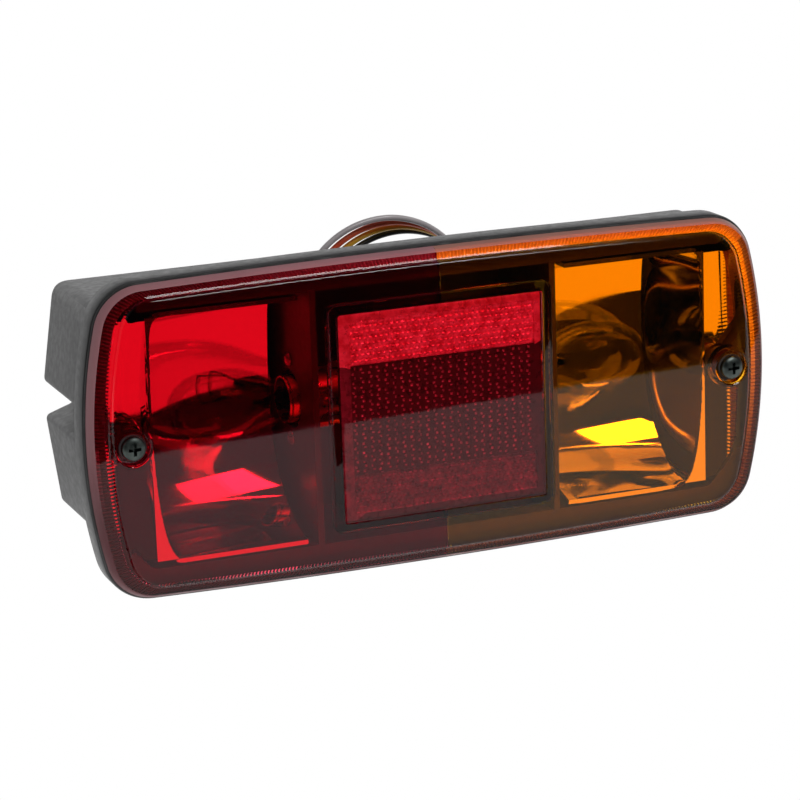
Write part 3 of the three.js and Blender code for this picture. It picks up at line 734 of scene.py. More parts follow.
def build_lens_halves():
    ribbed = half_outline(4)
    ribs = round(sum(map(dist, ribbed, ribbed[1:])) / RIB_PITCH)
    count = ribs * RIB_POINTS + 1
    rings = lens_rings(count)
    rows = len(rings)
    for (name, slot), side in ((("red", "red_lens"), -1), (("amber", "amber_lens"), 1)):
        gap = side * 0.03
        verts = [(gap - side * x if abs(x) > 1e-6 else gap, y, z) for r in rings for x, y, z in r]
        faces = []
        for i in range(rows - 1):
            for j in range(count - 1):
                a = i * count + j
                faces.append((a, a + 1, a + count + 1, a + count))
        last = (rows - 1) * count
        for j in range(count // 2):
            k = count - 1 - j
            front = (j, j + 1, k) if k - j == 2 else (j, j + 1, k - 1, k)
            faces.append(front)
            faces.append(tuple(last + v for v in reversed(front)))
        # The face where the two colours meet, cut along the section.
        bottom = [i * count for i in range(rows)]
        top = [i * count + count - 1 for i in range(rows)]
        faces.append(tuple(bottom + top[::-1]))
        lens = make(f"lens_{name}_moulding", verts, faces, slot, 28)
        finish = [0] * len(faces)
        for strips, material_index in ((EDGE_STRIPS, 1), (RIB_STRIPS, 2)):
            for i in strips:
                for j in range(count - 1):
                    x, _, z = rings[i][j]
                    # The outer rib strip's lower half, and the amber half's right end, take the side
                    # wall's finish, painted as shade there.
                    outer = i == RIB_STRIPS[0] and (z < 0 or side > 0 and abs(x) > SHADED_END)
                    finish[i * (count - 1) + j] = 1 if outer else material_index
        paint_faces(lens, [MATERIAL[f"{name}_edge"], MATERIAL[f"{name}_ribs"]], finish)
        finish_lens(lens, side)
        settle(lens, f"lens_{name}", "lens")


def finish_lens(lens, side):
    """Adds the raised frame and screw boss, then cuts the reflex pocket and the screw hole."""

    def around_reflex(grow, corner, y0, y1):
        opening = rectangle(REFLEX_HIGH[0] + grow, REFLEX_HIGH[2] + grow, corner)
        return prism_y(opening, y0, y1)

    frame_pad = around_reflex(3.2, 3, PANEL_FRONT - 0.45, PANEL_FRONT + 4.1)
    bevel(frame_pad, 0.35, 3)
    keep = block(*sorted((side * 0.03, side * 60)), -60, 0, -60, 60)
    combine(frame_pad, [keep], "INTERSECT")
    boss = cylinder_y(side * SCREW_X, 0, 6.6, PANEL_FRONT + 0.5, LENS_BACK + 0.2)
    combine(lens, [frame_pad, boss], "UNION")
    pocket = around_reflex(0.3, 1, PANEL_FRONT - 2, REFLEX_HIGH[1] + 0.05)
    window = around_reflex(-2.5, 1, PANEL_FRONT - 2, LENS_BACK)
    place = Matrix.Translation((side * SCREW_X, 0, 0))
    sink = lathe(
        "tool",
        [
            (0, PANEL_FRONT - 2), (5.9, PANEL_FRONT - 2), (5.7, PANEL_FRONT - 0.01),
            (5.25, PANEL_FRONT + 0.4), (5.2, PANEL_FRONT + 2.3), (2.4, PANEL_FRONT + 2.3),
            (2.4, LENS_BACK + 2), (0, LENS_BACK + 2),
        ],
        None, 64, place,
    )
    combine(lens, [pocket, window, sink], "DIFFERENCE", 28)


REFLEX_MARGIN = (3.6, 2.4, 2.2)  # clear border at the left, at the right, above and below
SCALE_FIELDS = (12.0, 13.5)  # heights of the scaled fields at the bottom and at the top
SCALE_PITCH, SCALE_RISE = 1.75, 0.55
DASH_COLUMN, DASH_PITCH, DASH_RISE = 2.6, 2.9, 0.3
DOT_OFFSET, DOT_R = (0.28, 0.62), 0.27
FACET_CELL = 0.27


def scale_height(x, z):
    """Height of one of the overlapping round scales, which lie in staggered rows."""
    row = floor(z / SCALE_PITCH)
    best = 0.0
    for r in (row - 1, row, row + 1):
        along = x / SCALE_PITCH + (0.5 if r % 2 else 0.0)
        dx = (along - round(along)) * SCALE_PITCH
        dz = z - (r + 0.5) * SCALE_PITCH
        reach = 1 - (dx * dx + dz * dz) / (0.62 * SCALE_PITCH) ** 2
        best = max(best, sqrt(max(reach, 0.0)) + 0.10 * sin(r * 5.3 + round(along) * 3.7))
    return SCALE_RISE * min(best, 1.1)


def dash_height(x, z):
    """Height of the paired dots that run down to the right in staggered columns."""
    column = round(x / DASH_COLUMN)
    best = 0.0
    for c in (column - 1, column, column + 1):
        along = z / DASH_PITCH + (0.5 if c % 2 else 0.0)
        middle = (round(along) - (0.5 if c % 2 else 0.0)) * DASH_PITCH
        for s in (-1, 1):
            dx = x - c * DASH_COLUMN + s * DOT_OFFSET[0]
            dz = z - middle - s * DOT_OFFSET[1]
            best = max(best, 1 - (dx * dx + dz * dz) / DOT_R**2)
    return DASH_RISE * sqrt(best) if best > 0 else 0.0


def build_reflex():
    """A flat-fronted plate with a clear margin, and moulded fields behind it."""
    (x0, y0, z0), (x1, y1, z1) = REFLEX_LOW, REFLEX_HIGH
    side_l, side_r, ends = REFLEX_MARGIN
    left, right, low, high = x0 + side_l, x1 - side_r, z0 + ends, z1 - ends
    cols = round((right - left) / FACET_CELL)
    rows = round((high - low) / FACET_CELL)
    base = y1 - SCALE_RISE * 1.15 - 0.05
    verts, index = [], {}
    for i in range(cols + 1):
        for j in range(rows + 1):
            x = left + i * (right - left) / cols
            z = low + j * (high - low) / rows
            scaled = z < low + SCALE_FIELDS[0] or z > high - SCALE_FIELDS[1]
            rise = scale_height(x, z) if scaled else dash_height(x, z)
            if i in (0, cols) or j in (0, rows):
                rise = 0.0
            index[i, j] = len(verts)
            verts.append((x, base + rise, z))
    faces, finish = [], []
    for i in range(cols):
        for j in range(rows):
            corners = (index[i, j], index[i + 1, j], index[i + 1, j + 1], index[i, j + 1])
            faces.append(corners)
            z = sum(verts[v][2] for v in corners) / 4
            lift = max(verts[v][1] for v in corners) - base
            # The top field takes painted light, the bottom field less of it, the middle field painted
            # shade and its raised dots painted glints.
            if z > high - SCALE_FIELDS[1]:
                finish.append(1)
            elif z < low + SCALE_FIELDS[0]:
                finish.append(2)
            else:
                finish.append(4 if lift > DASH_RISE * 0.3 else 3)
    edge = [index[i, 0] for i in range(cols + 1)]
    edge += [index[cols, j] for j in range(1, rows + 1)]
    edge += [index[i, rows] for i in range(cols - 1, -1, -1)]
    edge += [index[0, j] for j in range(rows - 1, 0, -1)]

    def outer_ring(inset, y):
        made = []
        for v in edge:
            tx = (verts[v][0] - left) / (right - left)
            tz = (verts[v][2] - low) / (high - low)
            made.append(len(verts))
            verts.append((x0 + inset + tx * (x1 - x0 - 2 * inset), y,
                          z0 + inset + tz * (z1 - z0 - 2 * inset)))
        return made

    rings = [edge, outer_ring(0.3, base), outer_ring(0, base - 0.3)]
    rings += [outer_ring(0, y0 + 0.45), outer_ring(0.15, y0 + 0.12), outer_ring(0.5, y0)]
    n = len(edge)
    for inner, outer in zip(rings, rings[1:]):
        for k in range(n):
            m = (k + 1) % n
            faces.append((inner[k], inner[m], outer[m], outer[k]))
            x, _, z = verts[outer[k]]
            # The band round the fields takes their painted light and shade: lit at the top, as the
            # bottom field on the left, and as the shaded middle elsewhere.
            margin = 1 if z > high - SCALE_FIELDS[1] else 2 if x < left else 3
            finish.append(margin if inner is edge else 0)
    faces.append(tuple(rings[-1]))
    finish.append(0)
    plate = make("reflex_plate", verts, faces, "reflex_red", 12)
    paint_faces(plate, [MATERIAL[name] for name in REFLEX_FIELDS], finish)
    settle(plate, "reflex_reflector", "lens")


# ---- Chromed reflectors ----
BOWL_X, BOWL_R = 61.5, 85  # the floor's gentle curve along the lamp, and its deepest place
WALL_RISE = 33  # how far the outer wall comes forward by the lip
FLANGE_BEND = {"red": 4.7, "amber": 8}  # the height where each flange lies deepest
FLANGE_DEEPEST, FLANGE_BOW = -37.6, 33  # depth there, and how far above it the flange is flush
# Lean of the reflector's face at heights up its section, in degrees; nought faces straight out.
FACE_LEAN = {
    "red": (
        (-37.3, 79), (-35, 68), (-32, 55), (-27.5, 43), (-20.5, 30), (-10.5, 13), (0, 3.2), (4.7, 0),
        (12, -3), (28, -9), (32, -30), (35, -66), (37.3, -86),
    ),
    "amber": (
        (-37.3, 79), (-34.5, 66), (-31, 53), (-26.5, 42), (-20.5, 29), (-8, 12), (5, 3.4), (15, -0.5),
        (22, -4), (29, -10), (32.5, -32), (35, -66), (37.3, -86),
    ),
}


def section_depths(unit, zs):
    """How deep the reflector's floor lies at each height, from its leans."""
    heights, leans = zip(*FACE_LEAN[unit])
    fine = np.linspace(-TRAY_HALF_HEIGHT, TRAY_HALF_HEIGHT, 1200)
    slope = np.tan(np.radians(np.interp(fine, heights, leans)))
    depth = np.concatenate([[0], np.cumsum((slope[1:] + slope[:-1]) / 2 * np.diff(fine))])
    depth += TROUGH_FLOOR - depth.max()
    return np.interp(zs, fine, depth)


def tray_depth(x, floor_y):
    _, floor_end, lip = TRAY_X
    trough = floor_y - (min(x, floor_end) - BOWL_X) ** 2 / (2 * BOWL_R)
    out = max(0.0, x - floor_end) / (lip - floor_end)
    return trough - WALL_RISE * out**1.15


def build_tray(unit, sign):
    inner, floor_end, lip = TRAY_X
    xs = [inner + (floor_end - inner) * i / 44 for i in range(45)]
    xs += [floor_end + (lip - floor_end) * (i / 36) for i in range(1, 37)]
    zs = list(np.linspace(-TRAY_HALF_HEIGHT, TRAY_HALF_HEIGHT, 141))
    floors = section_depths(unit, zs)
    zs = [zs[0], *zs, zs[-1]]
    floors = [SEAT_Y, *floors, SEAT_Y]
    verts, faces = [], []
    for j, (z, floor_y) in enumerate(zip(zs, floors)):
        for i, x in enumerate(xs):
            edge = j == 0 or j == len(zs) - 1
            y = SEAT_Y if edge else max(SEAT_Y, tray_depth(x, floor_y))
            verts.append((sign * x, y, z))
    cols = len(xs)
    for j in range(len(zs) - 1):
        for i in range(cols - 1):
            a = j * cols + i
            quad = (a, a + 1, a + cols + 1, a + cols)
            if len({verts[v] for v in quad}) > 2:
                faces.append(quad)
    tray = make(f"reflector_{unit}_tray", verts, faces, "chrome", 30)
    modifier = tray.modifiers.new("skin", "SOLIDIFY")
    modifier.thickness = 1.4 * MM
    faces_forward = sum(p.normal.y * p.area for p in tray.data.polygons) < 0
    modifier.offset = -1 if faces_forward else 1
    bake_modifiers(tray)
    shade(tray, 30)
    for piece in (tray, tray_flange(unit, sign)):
        settle(piece, f"reflector_{unit}")


def tray_flange(unit, sign):
    """The flange outside the lip, clear of the housing's walls and its screw boss."""
    rings = []
    near, far, skin = sign * (TRAY_X[2] - 0.6), sign * HALF_LENGTH, 0.9
    for z in np.linspace(0.8 - TRAY_HALF_HEIGHT, TRAY_HALF_HEIGHT - 0.8, 60):
        bend = FLANGE_BEND[unit]
        span = FLANGE_BOW if z > bend else bend + TRAY_HALF_HEIGHT
        rise = FLANGE_DEEPEST - SEAT_Y - 0.2
        y = FLANGE_DEEPEST - rise * min(1, abs(z - bend) / span) ** 2
        rings.append([(near, y, z), (far, y, z), (far, y + skin, z), (near, y + skin, z)])
    strip = loft(f"reflector_{unit}_flange", rings, "chrome")
    room = prism_y(rounded(body_corners(WALL + 0.6)), SEAT_Y - 1, 0)
    combine(strip, [room], "INTERSECT")
    return combine(strip, [cylinder_y(sign * SCREW_X, 0, 5.7, SEAT_Y - 1, -30)], "DIFFERENCE", 30)


# ---- Sockets, bulbs and contacts ----
# Each is drawn standing on the socket's closed end, with its axis along +Y.
SHELL_INNER, SHELL_OUTER, SHELL_LENGTH = 7.9, 8.6, 20
CARRIER_LOW, CARRIER_HIGH = 6.8, 9.3
CAP_LOW, CAP_HIGH, CAP_R = 10.2, 25, 7.5
PIN_R = 1
TWIST_DEG, PUSH = 20, 2
PINS = {"red": (16.5, 13.4), "amber": (16.5, 16.5)}
STUDS = {"red": {"tail": -3, "stop": 3}, "amber": {"feed": 0}}


def slot_cutter(start, stop, low, high, place):
    """A wedge through the shell's wall between two heights, from one angle to another."""
    edge = degrees((PIN_R + 0.35) / SHELL_INNER)
    rings = []
    for a in np.linspace(start - edge, stop + edge, 9):
        sx, sz = sin(radians(a)), cos(radians(a))
        near, far = SHELL_INNER - 1.2, SHELL_OUTER + 1.2
        ring = [(near * sx, low, near * sz), (far * sx, low, far * sz)]
        ring += [(far * sx, high, far * sz), (near * sx, high, near * sz)]
        rings.append(moved(place, ring))
    return loft("tool", rings, None, 0)


def build_socket(unit, sign):
    place = unit_place(sign)
    length = SHELL_LENGTH
    shell = lathe(
        f"socket_{unit}_shell",
        [
            (5.2, 0), (SHELL_OUTER - 1, 0), (SHELL_OUTER - 0.3, 0.3), (SHELL_OUTER, 1),
            (SHELL_OUTER, length - 2.2), (SHELL_OUTER + 0.25, length - 1.2),
            (SHELL_OUTER + 0.7, length - 0.8), (SHELL_OUTER + 0.7, length),
            (SHELL_INNER + 0.3, length), (SHELL_INNER, length - 0.4),
            (SHELL_INNER, 1.2), (SHELL_INNER - 0.5, 0.7), (5.2, 0.7),
        ],
        "zinc_steel", 72, place,
    )
    outline_xz = rectangle(9.5, 16.5, 4)
    rings = [moved(place, [(x, y, z) for x, z in outline_xz]) for y in (length - 0.8, length)]
    flange = loft("tool", rings)
    bevel(flange, 0.18, 2)
    holes = [rod(8.2, 17, 22, 72, place)]
    for dz in (-RIVET_OFFSET, RIVET_OFFSET):
        holes.append(rod(1.3, 17, 22, 16, place @ Matrix.Translation((0, 0, dz))))
    combine(flange, holes, "DIFFERENCE")
    combine(shell, [flange], "UNION")
    cuts = []
    for i, height in enumerate(PINS[unit]):
        start = 90 + 180 * i
        low = height - PIN_R - PUSH - 0.3
        cuts.append(slot_cutter(start, start + TWIST_DEG, low, height + PIN_R + 0.3, place))
        mouth = start + TWIST_DEG
        cuts.append(slot_cutter(mouth, mouth, low, length + 1, place))
    combine(shell, cuts, "DIFFERENCE")
    settle(shell, f"socket_{unit}")

    for where, s in (("upper", 1), ("lower", -1)):
        at = place @ Matrix.Translation((0, 0, s * RIVET_OFFSET))
        low, high = length - 1.9, length + 2.5
        profile = [
            (0, low - 1.3), (1.0, low - 1.22), (1.7, low - 0.9), (2.15, low - 0.35), (2.2, low),
            (1.2, low), (1.2, high), (2.2, high), (2.15, high + 0.3), (1.7, high + 0.75),
            (1.0, high + 0.98), (0.35, high + 1.0), (0.25, high + 0.55), (0, high + 0.5),
        ]
        rivet = lathe(f"rivet_{unit}_{where}", profile, "zinc_steel", 40, at)
        settle(rivet, f"socket_rivet_{unit}_{where}")


def build_contacts(unit, sign):
    place = unit_place(sign)
    low, high = CARRIER_LOW, CARRIER_HIGH
    disc = lathe(
        f"carrier_{unit}_disc",
        [
            (0, low), (7.2, low), (7.5, low + 0.3), (7.5, high - 0.3), (7.2, high),
            (5.2, high), (5.0, high - 0.25), (4.6, high - 0.25), (4.4, high), (0, high),
        ],
        "phenolic", 64, place,
    )
    holes = []
    for x in STUDS[unit].values():
        at = place @ Matrix.Translation((x, 0, 0))
        holes.append(rod(1.1, 5, 11, 24, at))
    combine(disc, holes, "DIFFERENCE")
    settle(disc, f"contact_carrier_{unit}", f"contacts_{unit}")
    for use, x in STUDS[unit].items():
        at = place @ Matrix.Translation((x, 0, 0))
        profile = [
            (0, -4), (0.8, -4), (1, -3.7), (1, -0.6), (0.82, -0.4), (0.82, 0.1), (1, 0.3),
            (1, high + 0.05), (1.9, high + 0.05), (2.0, high + 0.2), (1.75, high + 0.48),
            (1.2, high + 0.65), (0.5, high + 0.7), (0, high + 0.7),
        ]
        stud = lathe(f"contact_{unit}_{use}_stud", profile, "brass", 32, at)
        settle(stud, f"contact_{unit}_{use}", f"contacts_{unit}")
    build_spring(unit, sign)


def build_spring(unit, sign):
    """A closed-end coil between the shell's end and the carrier."""
    place = unit_place(sign)
    low, high, turns, radius, wire = 1.2, 6.3, 4.5, 6.2, 0.45
    points = []
    steps = int(turns * 28)
    for i in range(steps + 1):
        t = i / steps
        a = t * turns * 2 * pi
        # The first and last turns lie flat, so the pitch eases in and out.
        climb = min(max((t * turns - 0.75) / (turns - 1.5), 0), 1)
        climb = climb * climb * (3 - 2 * climb)
        flat = wire * 0.9 * min(t * turns, 0.75) / 0.75
        rest = wire * 0.9 * min((1 - t) * turns, 0.75) / 0.75
        y = low + flat + climb * (high - low - 1.8 * wire) + (wire * 0.9 - rest)
        points.append(place @ Vector((radius * cos(a), y, radius * sin(a))))
    spring = sweep(f"spring_{unit}_coil", points, wire, "spring_steel", 12)
    settle(spring, f"contact_spring_{unit}")
    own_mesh(spring)


def build_bulb(unit, sign):
    place = unit_place(sign)
    low, high, radius = CAP_LOW, CAP_HIGH, CAP_R
    cap = lathe(
        f"bulb_{unit}_shell",
        [
            (radius - 0.9, low + 1.2), (radius - 0.4, low + 1.25), (radius, low + 1.8),
            (radius, high - 1.3), (radius - 0.12, high - 1.1), (radius, high - 0.9),
            (radius, high - 0.4), (radius - 0.25, high), (radius - 0.6, high),
            (radius - 0.6, low + 1.9),
        ],
        "brass", 72, place,
    )
    pins = []
    for i, height in enumerate(PINS[unit]):
        spin = Matrix.Rotation(radians(90 + 180 * i), 4, "Y")
        along = Matrix.Translation((0, height, 0)) @ Matrix.Rotation(pi / 2, 4, "X")
        reach = radius + 0.95
        profile = [(0, radius - 0.4), (PIN_R, radius - 0.4), (PIN_R, reach - 0.3)]
        profile += [(PIN_R - 0.3, reach), (0, reach)]
        pins.append(lathe("tool", profile, None, 24, place @ spin @ along))
    combine(cap, pins, "UNION")
    settle(cap, f"bulb_cap_{unit}", f"bulb_{unit}")

    plug = lathe(
        f"bulb_{unit}_plug",
        [
            (0, low + 0.4), (4.6, low + 0.4), (5.6, low + 0.7), (radius - 0.95, low + 1.5),
            (radius - 0.9, low + 4), (0, low + 4),
        ],
        "black_glass", 64, place,
    )
    parts = [plug]
    for x in STUDS[unit].values():
        at = place @ Matrix.Translation((x, 0, 0))
        pad = [(0, low - 0.02), (0.9, low), (1.5, low + 0.2)]
        pad += [(1.7, low + 0.5), (1.7, low + 1), (0, low + 1)]
        parts.append(lathe("tool", pad, "solder", 32, at))
    settle(merge(parts), f"bulb_insulator_{unit}", f"bulb_{unit}")

    outside = [
        (6.6, high - 6), (6.7, high - 2), (6.72, high + 0.6), (6.9, high + 2.2), (8.0, high + 4.8),
        (9.9, high + 8.6), (11.3, high + 12.6), (12.0, high + 17), (12.05, high + 21),
        (11.5, high + 26), (10.2, high + 30), (8.0, high + 33.3), (5.4, high + 35.5),
        (2.6, high + 36.4), (0, high + 36.6),
    ]
    skin = 0.5
    inside = []
    for i, (r, y) in enumerate(outside[:-1]):
        before, after = outside[max(i - 1, 0)], outside[i + 1]
        run = hypot(after[0] - before[0], after[1] - before[1])
        inside.append((r - skin * (after[1] - before[1]) / run, y + skin * (after[0] - before[0]) / run))
    inside.append((0, high + 36.6 - skin))
    envelope = lathe(f"bulb_{unit}_envelope", outside + inside[::-1], "clear_glass", 96, place, 60)
    settle(envelope, f"bulb_glass_{unit}", f"bulb_{unit}")
    build_filament(unit, place)


def build_filament(unit, place):
    high = CAP_HIGH
    stem = lathe(
        f"bulb_{unit}_mount",
        [
            (0, high - 5), (3.4, high - 5), (3.3, high - 2), (2.6, high + 1), (2.2, high + 4),
            (1.7, high + 7.6), (1.3, high + 9.2), (0, high + 9.6),
        ],
        "clear_glass", 40, place, 60,
    )
    parts = [stem]
    coils = ((high + 17.5, 0.0),) if unit == "amber" else ((high + 17.5, 1.1), (high + 13.8, -1.1))
    for height, offset in coils:
        reach = 3.4
        for s in (-1, 1):
            wire = smooth_path(
                [
                    (offset * 0.4, high + 6, s * 0.9), (offset * 0.6, high + 9, s * 1.3),
                    (offset, high + 12, s * 2.9), (offset, height - 0.4, s * reach),
                    (offset, height + 0.35, s * (reach + 0.12)),
                ],
                8,
            )
            parts.append(sweep("tool", [place @ p for p in wire], 0.22, "filament", 10))
        points = []
        turns, steps = 17, 17 * 14
        for i in range(steps + 1):
            t = i / steps
            a = t * turns * 2 * pi
            y = height + 0.55 * sin(pi * t) + 0.34 * sin(a)
            points.append(place @ Vector((offset + 0.34 * cos(a), y, -reach + 2 * reach * t)))
        parts.append(sweep("tool", points, 0.09, "filament", 6))
    settle(merge(parts), f"bulb_filament_{unit}", f"bulb_{unit}")


def merge(objects):
    """Makes one object of several, keeping their materials."""
    base = objects[0]
    bm = bmesh.new()
    bm.from_mesh(base.data)
    slots = list(base.data.materials)
    for extra in objects[1:]:
        start = len(bm.faces)
        bm.from_mesh(extra.data)
        bm.faces.ensure_lookup_table()
        shift = []
        for material in extra.data.materials:
            if material not in slots:
                slots.append(material)
            shift.append(slots.index(material))
        for face in bm.faces[start:]:
            face.material_index = shift[face.material_index]
        bpy.data.objects.remove(extra)
    bm.to_mesh(base.data)
    bm.free()
    base.data.materials.clear()
    for material in slots:
        base.data.materials.append(material)
    return base


# ---- Wiring ----
LEAD_R = 0.95
LEADS = (
    ("lead_tail", "wire_grey", (-11, -25, 2), (-1.1, 1.1)),
    ("lead_stop", "wire_orange", (-11, -19, 2), (-1.1, -1.1)),
    ("lead_indicator", "wire_yellow", (11, -22, 2), (1.1, 1.1)),
    ("lead_earth", "wire_black", (-3, -6.5, -10.5), (1.1, -1.1)),
)
LOOP = {"x": 3.5, "z": 18.5, "radius": 30, "y": 7}
LANE = {"x": 2.65, "y": 2.2, "z": -2.1}
STRIPPED = 3.2  # bare copper at the end of each lead


def lead_points(start, slot, lane):
    gx, gz = GROMMET[0] + slot[0], GROMMET[1] + slot[1]
    radius = LOOP["radius"]
    centre_x = LOOP["x"] + lane * LANE["x"]
    centre_z = LOOP["z"] + lane * LANE["z"]
    y = LOOP["y"] + lane * LANE["y"]
    points = [
        start,
        ((start[0] * 2 + gx) / 3, start[1] * 0.7 - 3, (start[2] + gz) / 2),
        (gx, -9, gz), (gx, -3, gz), (gx, 4, gz), (gx - 3, y - 0.5, gz + 1.5),
    ]
    for turned in (165, 135, 110, 85, 60, 35, 10, -15):
        a = radians(turned)
        points.append((centre_x + radius * cos(a), y, centre_z + radius * sin(a)))
    points += [(centre_x + radius * 0.82, y, -14), (centre_x + radius * 0.6, y, -30)]
    return smooth_path(points, 12)


def build_leads():
    for lane, (node, slot, start, place) in enumerate(LEADS):
        path = lead_points(start, place, lane)
        run = [0.0]
        for a, b in zip(path, path[1:]):
            run.append(run[-1] + (b - a).length)
        jacket = [p for p, d in zip(path, run) if STRIPPED <= d <= run[-1] - STRIPPED]
        parts = [sweep(f"{node}_run", jacket, LEAD_R, slot, 20)]
        strands = 5
        for strand in range(strands):
            phase = 2 * pi * strand / strands
            for ends in (path[: len(path) - len(jacket)], path[::-1][: len(path) - len(jacket)]):
                core = [p for p in ends if (p - ends[0]).length <= STRIPPED + 1.2]
                if len(core) < 3:
                    core = [ends[0], ends[0].lerp(ends[2], 0.5), ends[2]]
                parts.append(copper_strand(core, phase))
        settle(merge(parts), node)


def copper_strand(core, phase):
    along = (core[-1] - core[0]).normalized()
    side = along.orthogonal().normalized()
    up = along.cross(side)
    length = (core[-1] - core[0]).length
    points = []
    for i in range(9):
        t = i / 8
        a = phase + t * length * 0.7
        middle = core[0] + (core[-1] - core[0]) * t
        points.append(middle + side * (0.38 * cos(a)) + up * (0.38 * sin(a)))
    return sweep("tool", points, 0.2, "copper", 6)


def build_grommet():
    place = Matrix.Translation((GROMMET[0], 0, GROMMET[1]))
    wall = -REAR_WALL
    profile = [
        (2.9, wall - 1.4), (3.2, wall - 1.5), (7.6, wall - 1.5), (8, wall - 1.1), (8, wall - 0.4),
        (7.7, wall - 0.05), (6.1, wall - 0.05), (5.9, wall + 0.2), (5.9, -0.15), (6.1, 0.05),
        (7.6, 0.05), (7.8, 0.3), (7.5, 1.0), (6.6, 1.8), (5.6, 2.5), (4.6, 2.95), (3.3, 3),
        (2.9, 2.7),
    ]
    ring = lathe("grommet_ring", profile, "rubber", 72, place, 40)
    settle(ring, "cable_grommet")


def build_earth_strip():
    end, skin, reach = 36.9, 0.7, -25
    back = -REAR_WALL - 0.4
    corners = [
        (-end, back, 1.1), (-end, reach, 0.2), (skin - end, reach, 0.2),
        (skin - end, back - skin, 0.5), (end - skin, back - skin, 0.5), (end - skin, reach, 0.2),
        (end, reach, 0.2), (end, back, 1.1),
    ]
    plan = rounded(corners, 6)
    mid = BULB_Z - RIVET_OFFSET
    rings = [[(x, y, z) for x, y in plan] for z in (mid - 3, mid + 3)]
    strip = loft("earth_strip_bent", rings, "brass", 40)
    turn = Matrix.Rotation(pi / 2, 4, "Z")
    hole = rod(1.3, -45, 45, 24, Matrix.Translation((0, BULB_Y, mid)) @ turn)
    combine(strip, [hole], "DIFFERENCE")
    bevel(strip, 0.12, 2)
    settle(strip, "earth_strip")


# ---- Fasteners ----
def thread(crest, depth, pitch, start, stop, place, finish, sides, taper=0.0):
    """A closed threaded bar along Y from start to stop, with its ridge cut as one helix."""
    per_turn = 10
    rows = max(int(abs(stop - start) / pitch * per_turn), 4)
    rings = []
    for i in range(rows + 1):
        t = i / rows
        y = start + (stop - start) * t
        ease = min(1.0, (1 - t) * rows / per_turn, t * rows / per_turn + 0.15)
        ring = []
        for k in range(sides):
            a = 2 * pi * k / sides
            wave = (y / pitch + k / sides) % 1.0
            ridge = 1 - abs(wave - 0.5) * 2
            ridge = min(max((ridge - 0.12) / 0.76, 0), 1)
            r = crest - depth + depth * ridge * ease
            if taper and abs(stop - y) < taper:
                r *= 0.28 + 0.72 * abs(stop - y) / taper
            ring.append((r * cos(a), y, r * sin(a)))
        rings.append(moved(place, ring))
    return loft("tool", rings, finish, 40)


HEAD_SEAT = PANEL_FRONT + 1.3
SCREW_TIP = -31.2
RECESS_HALF, RECESS_ARM, RECESS_DEPTH = 1.95, 0.5, 1.7


def cross_tool(place, top):
    """The tapering cross of a Phillips recess, from just above the head down into it."""
    def ring(y, half, arm):
        pts = [(arm, half), (arm, arm), (half, arm), (half, -arm), (arm, -arm), (arm, -half)]
        pts += [(-x, -z) for x, z in pts]
        return moved(place, [(x, y, z) for x, z in pts])

    half, arm = RECESS_HALF, RECESS_ARM
    rings = [ring(top - 0.4, half + 0.06, arm + 0.04), ring(top + 0.2, half, arm)]
    rings.append(ring(top + RECESS_DEPTH, half * 0.5, arm * 0.62))
    return loft("tool", rings, None, 0)


def build_lens_screw(side, sign):
    place = Matrix.Translation((sign * SCREW_X, 0, 0))
    seat = HEAD_SEAT
    profile = [(0, seat + 0.4), (1.9, seat + 0.4), (1.9, seat), (3.6, seat), (3.75, seat - 0.15)]
    profile += [(3.72, seat - 0.9)]
    for i in range(1, 9):
        a = radians(90 * i / 8)
        profile.append((3.72 * cos(a) ** 0.75 if i < 8 else 0, seat - 0.9 - 1.6 * sin(a)))
    screw = lathe(f"lens_screw_{side}_pan", profile, "black_zinc", 72, place, 40)
    combine(screw, [cross_tool(place, seat - 2.5)], "DIFFERENCE")
    shank = thread(1.9, 0.55, 1.3, seat + 0.3, SCREW_TIP, place, "black_zinc", 32, 2.6)
    settle(merge([screw, shank]), f"lens_screw_{side}", f"screw_{side}")

    low, high = HEAD_SEAT, PANEL_FRONT + 2.3
    ring = [(2.2, low + 0.15), (2.4, low), (4.05, low), (4.3, low + 0.25), (4.38, (low + high) / 2)]
    ring += [(4.3, high - 0.25), (4.05, high), (2.4, high), (2.2, high - 0.15)]
    seal = lathe(f"screw_seal_{side}_ring", ring, "rubber", 64, place, 50)
    settle(seal, f"screw_seal_{side}", f"seal_{side}")


def hex_blank(name, corners, y0, y1, place, round_high):
    """A hexagon with the turned chamfers of a pressed nut or bolt head."""
    half = corners / 2
    flats = half * cos(pi / 6)
    corner = [(half * cos(pi * k / 3), half * sin(pi * k / 3)) for k in range(6)]
    rings = [moved(place, [(x, y, z) for x, z in corner]) for y in (y0, y1)]
    blank = loft(name, rings, "zinc_steel", 30)
    rise = (half - flats * 0.97) * 0.6
    cone = [(0, y0), (flats * 0.97, y0), (half, y0 + rise)]
    cone += [(half, y1 - rise), (flats * 0.97, y1)] if round_high else [(half + 0.1, y1)]
    cone += [(0, y1)]
    turned = lathe("tool", cone, None, 96, place)
    return combine(blank, [turned], "INTERSECT", 30)


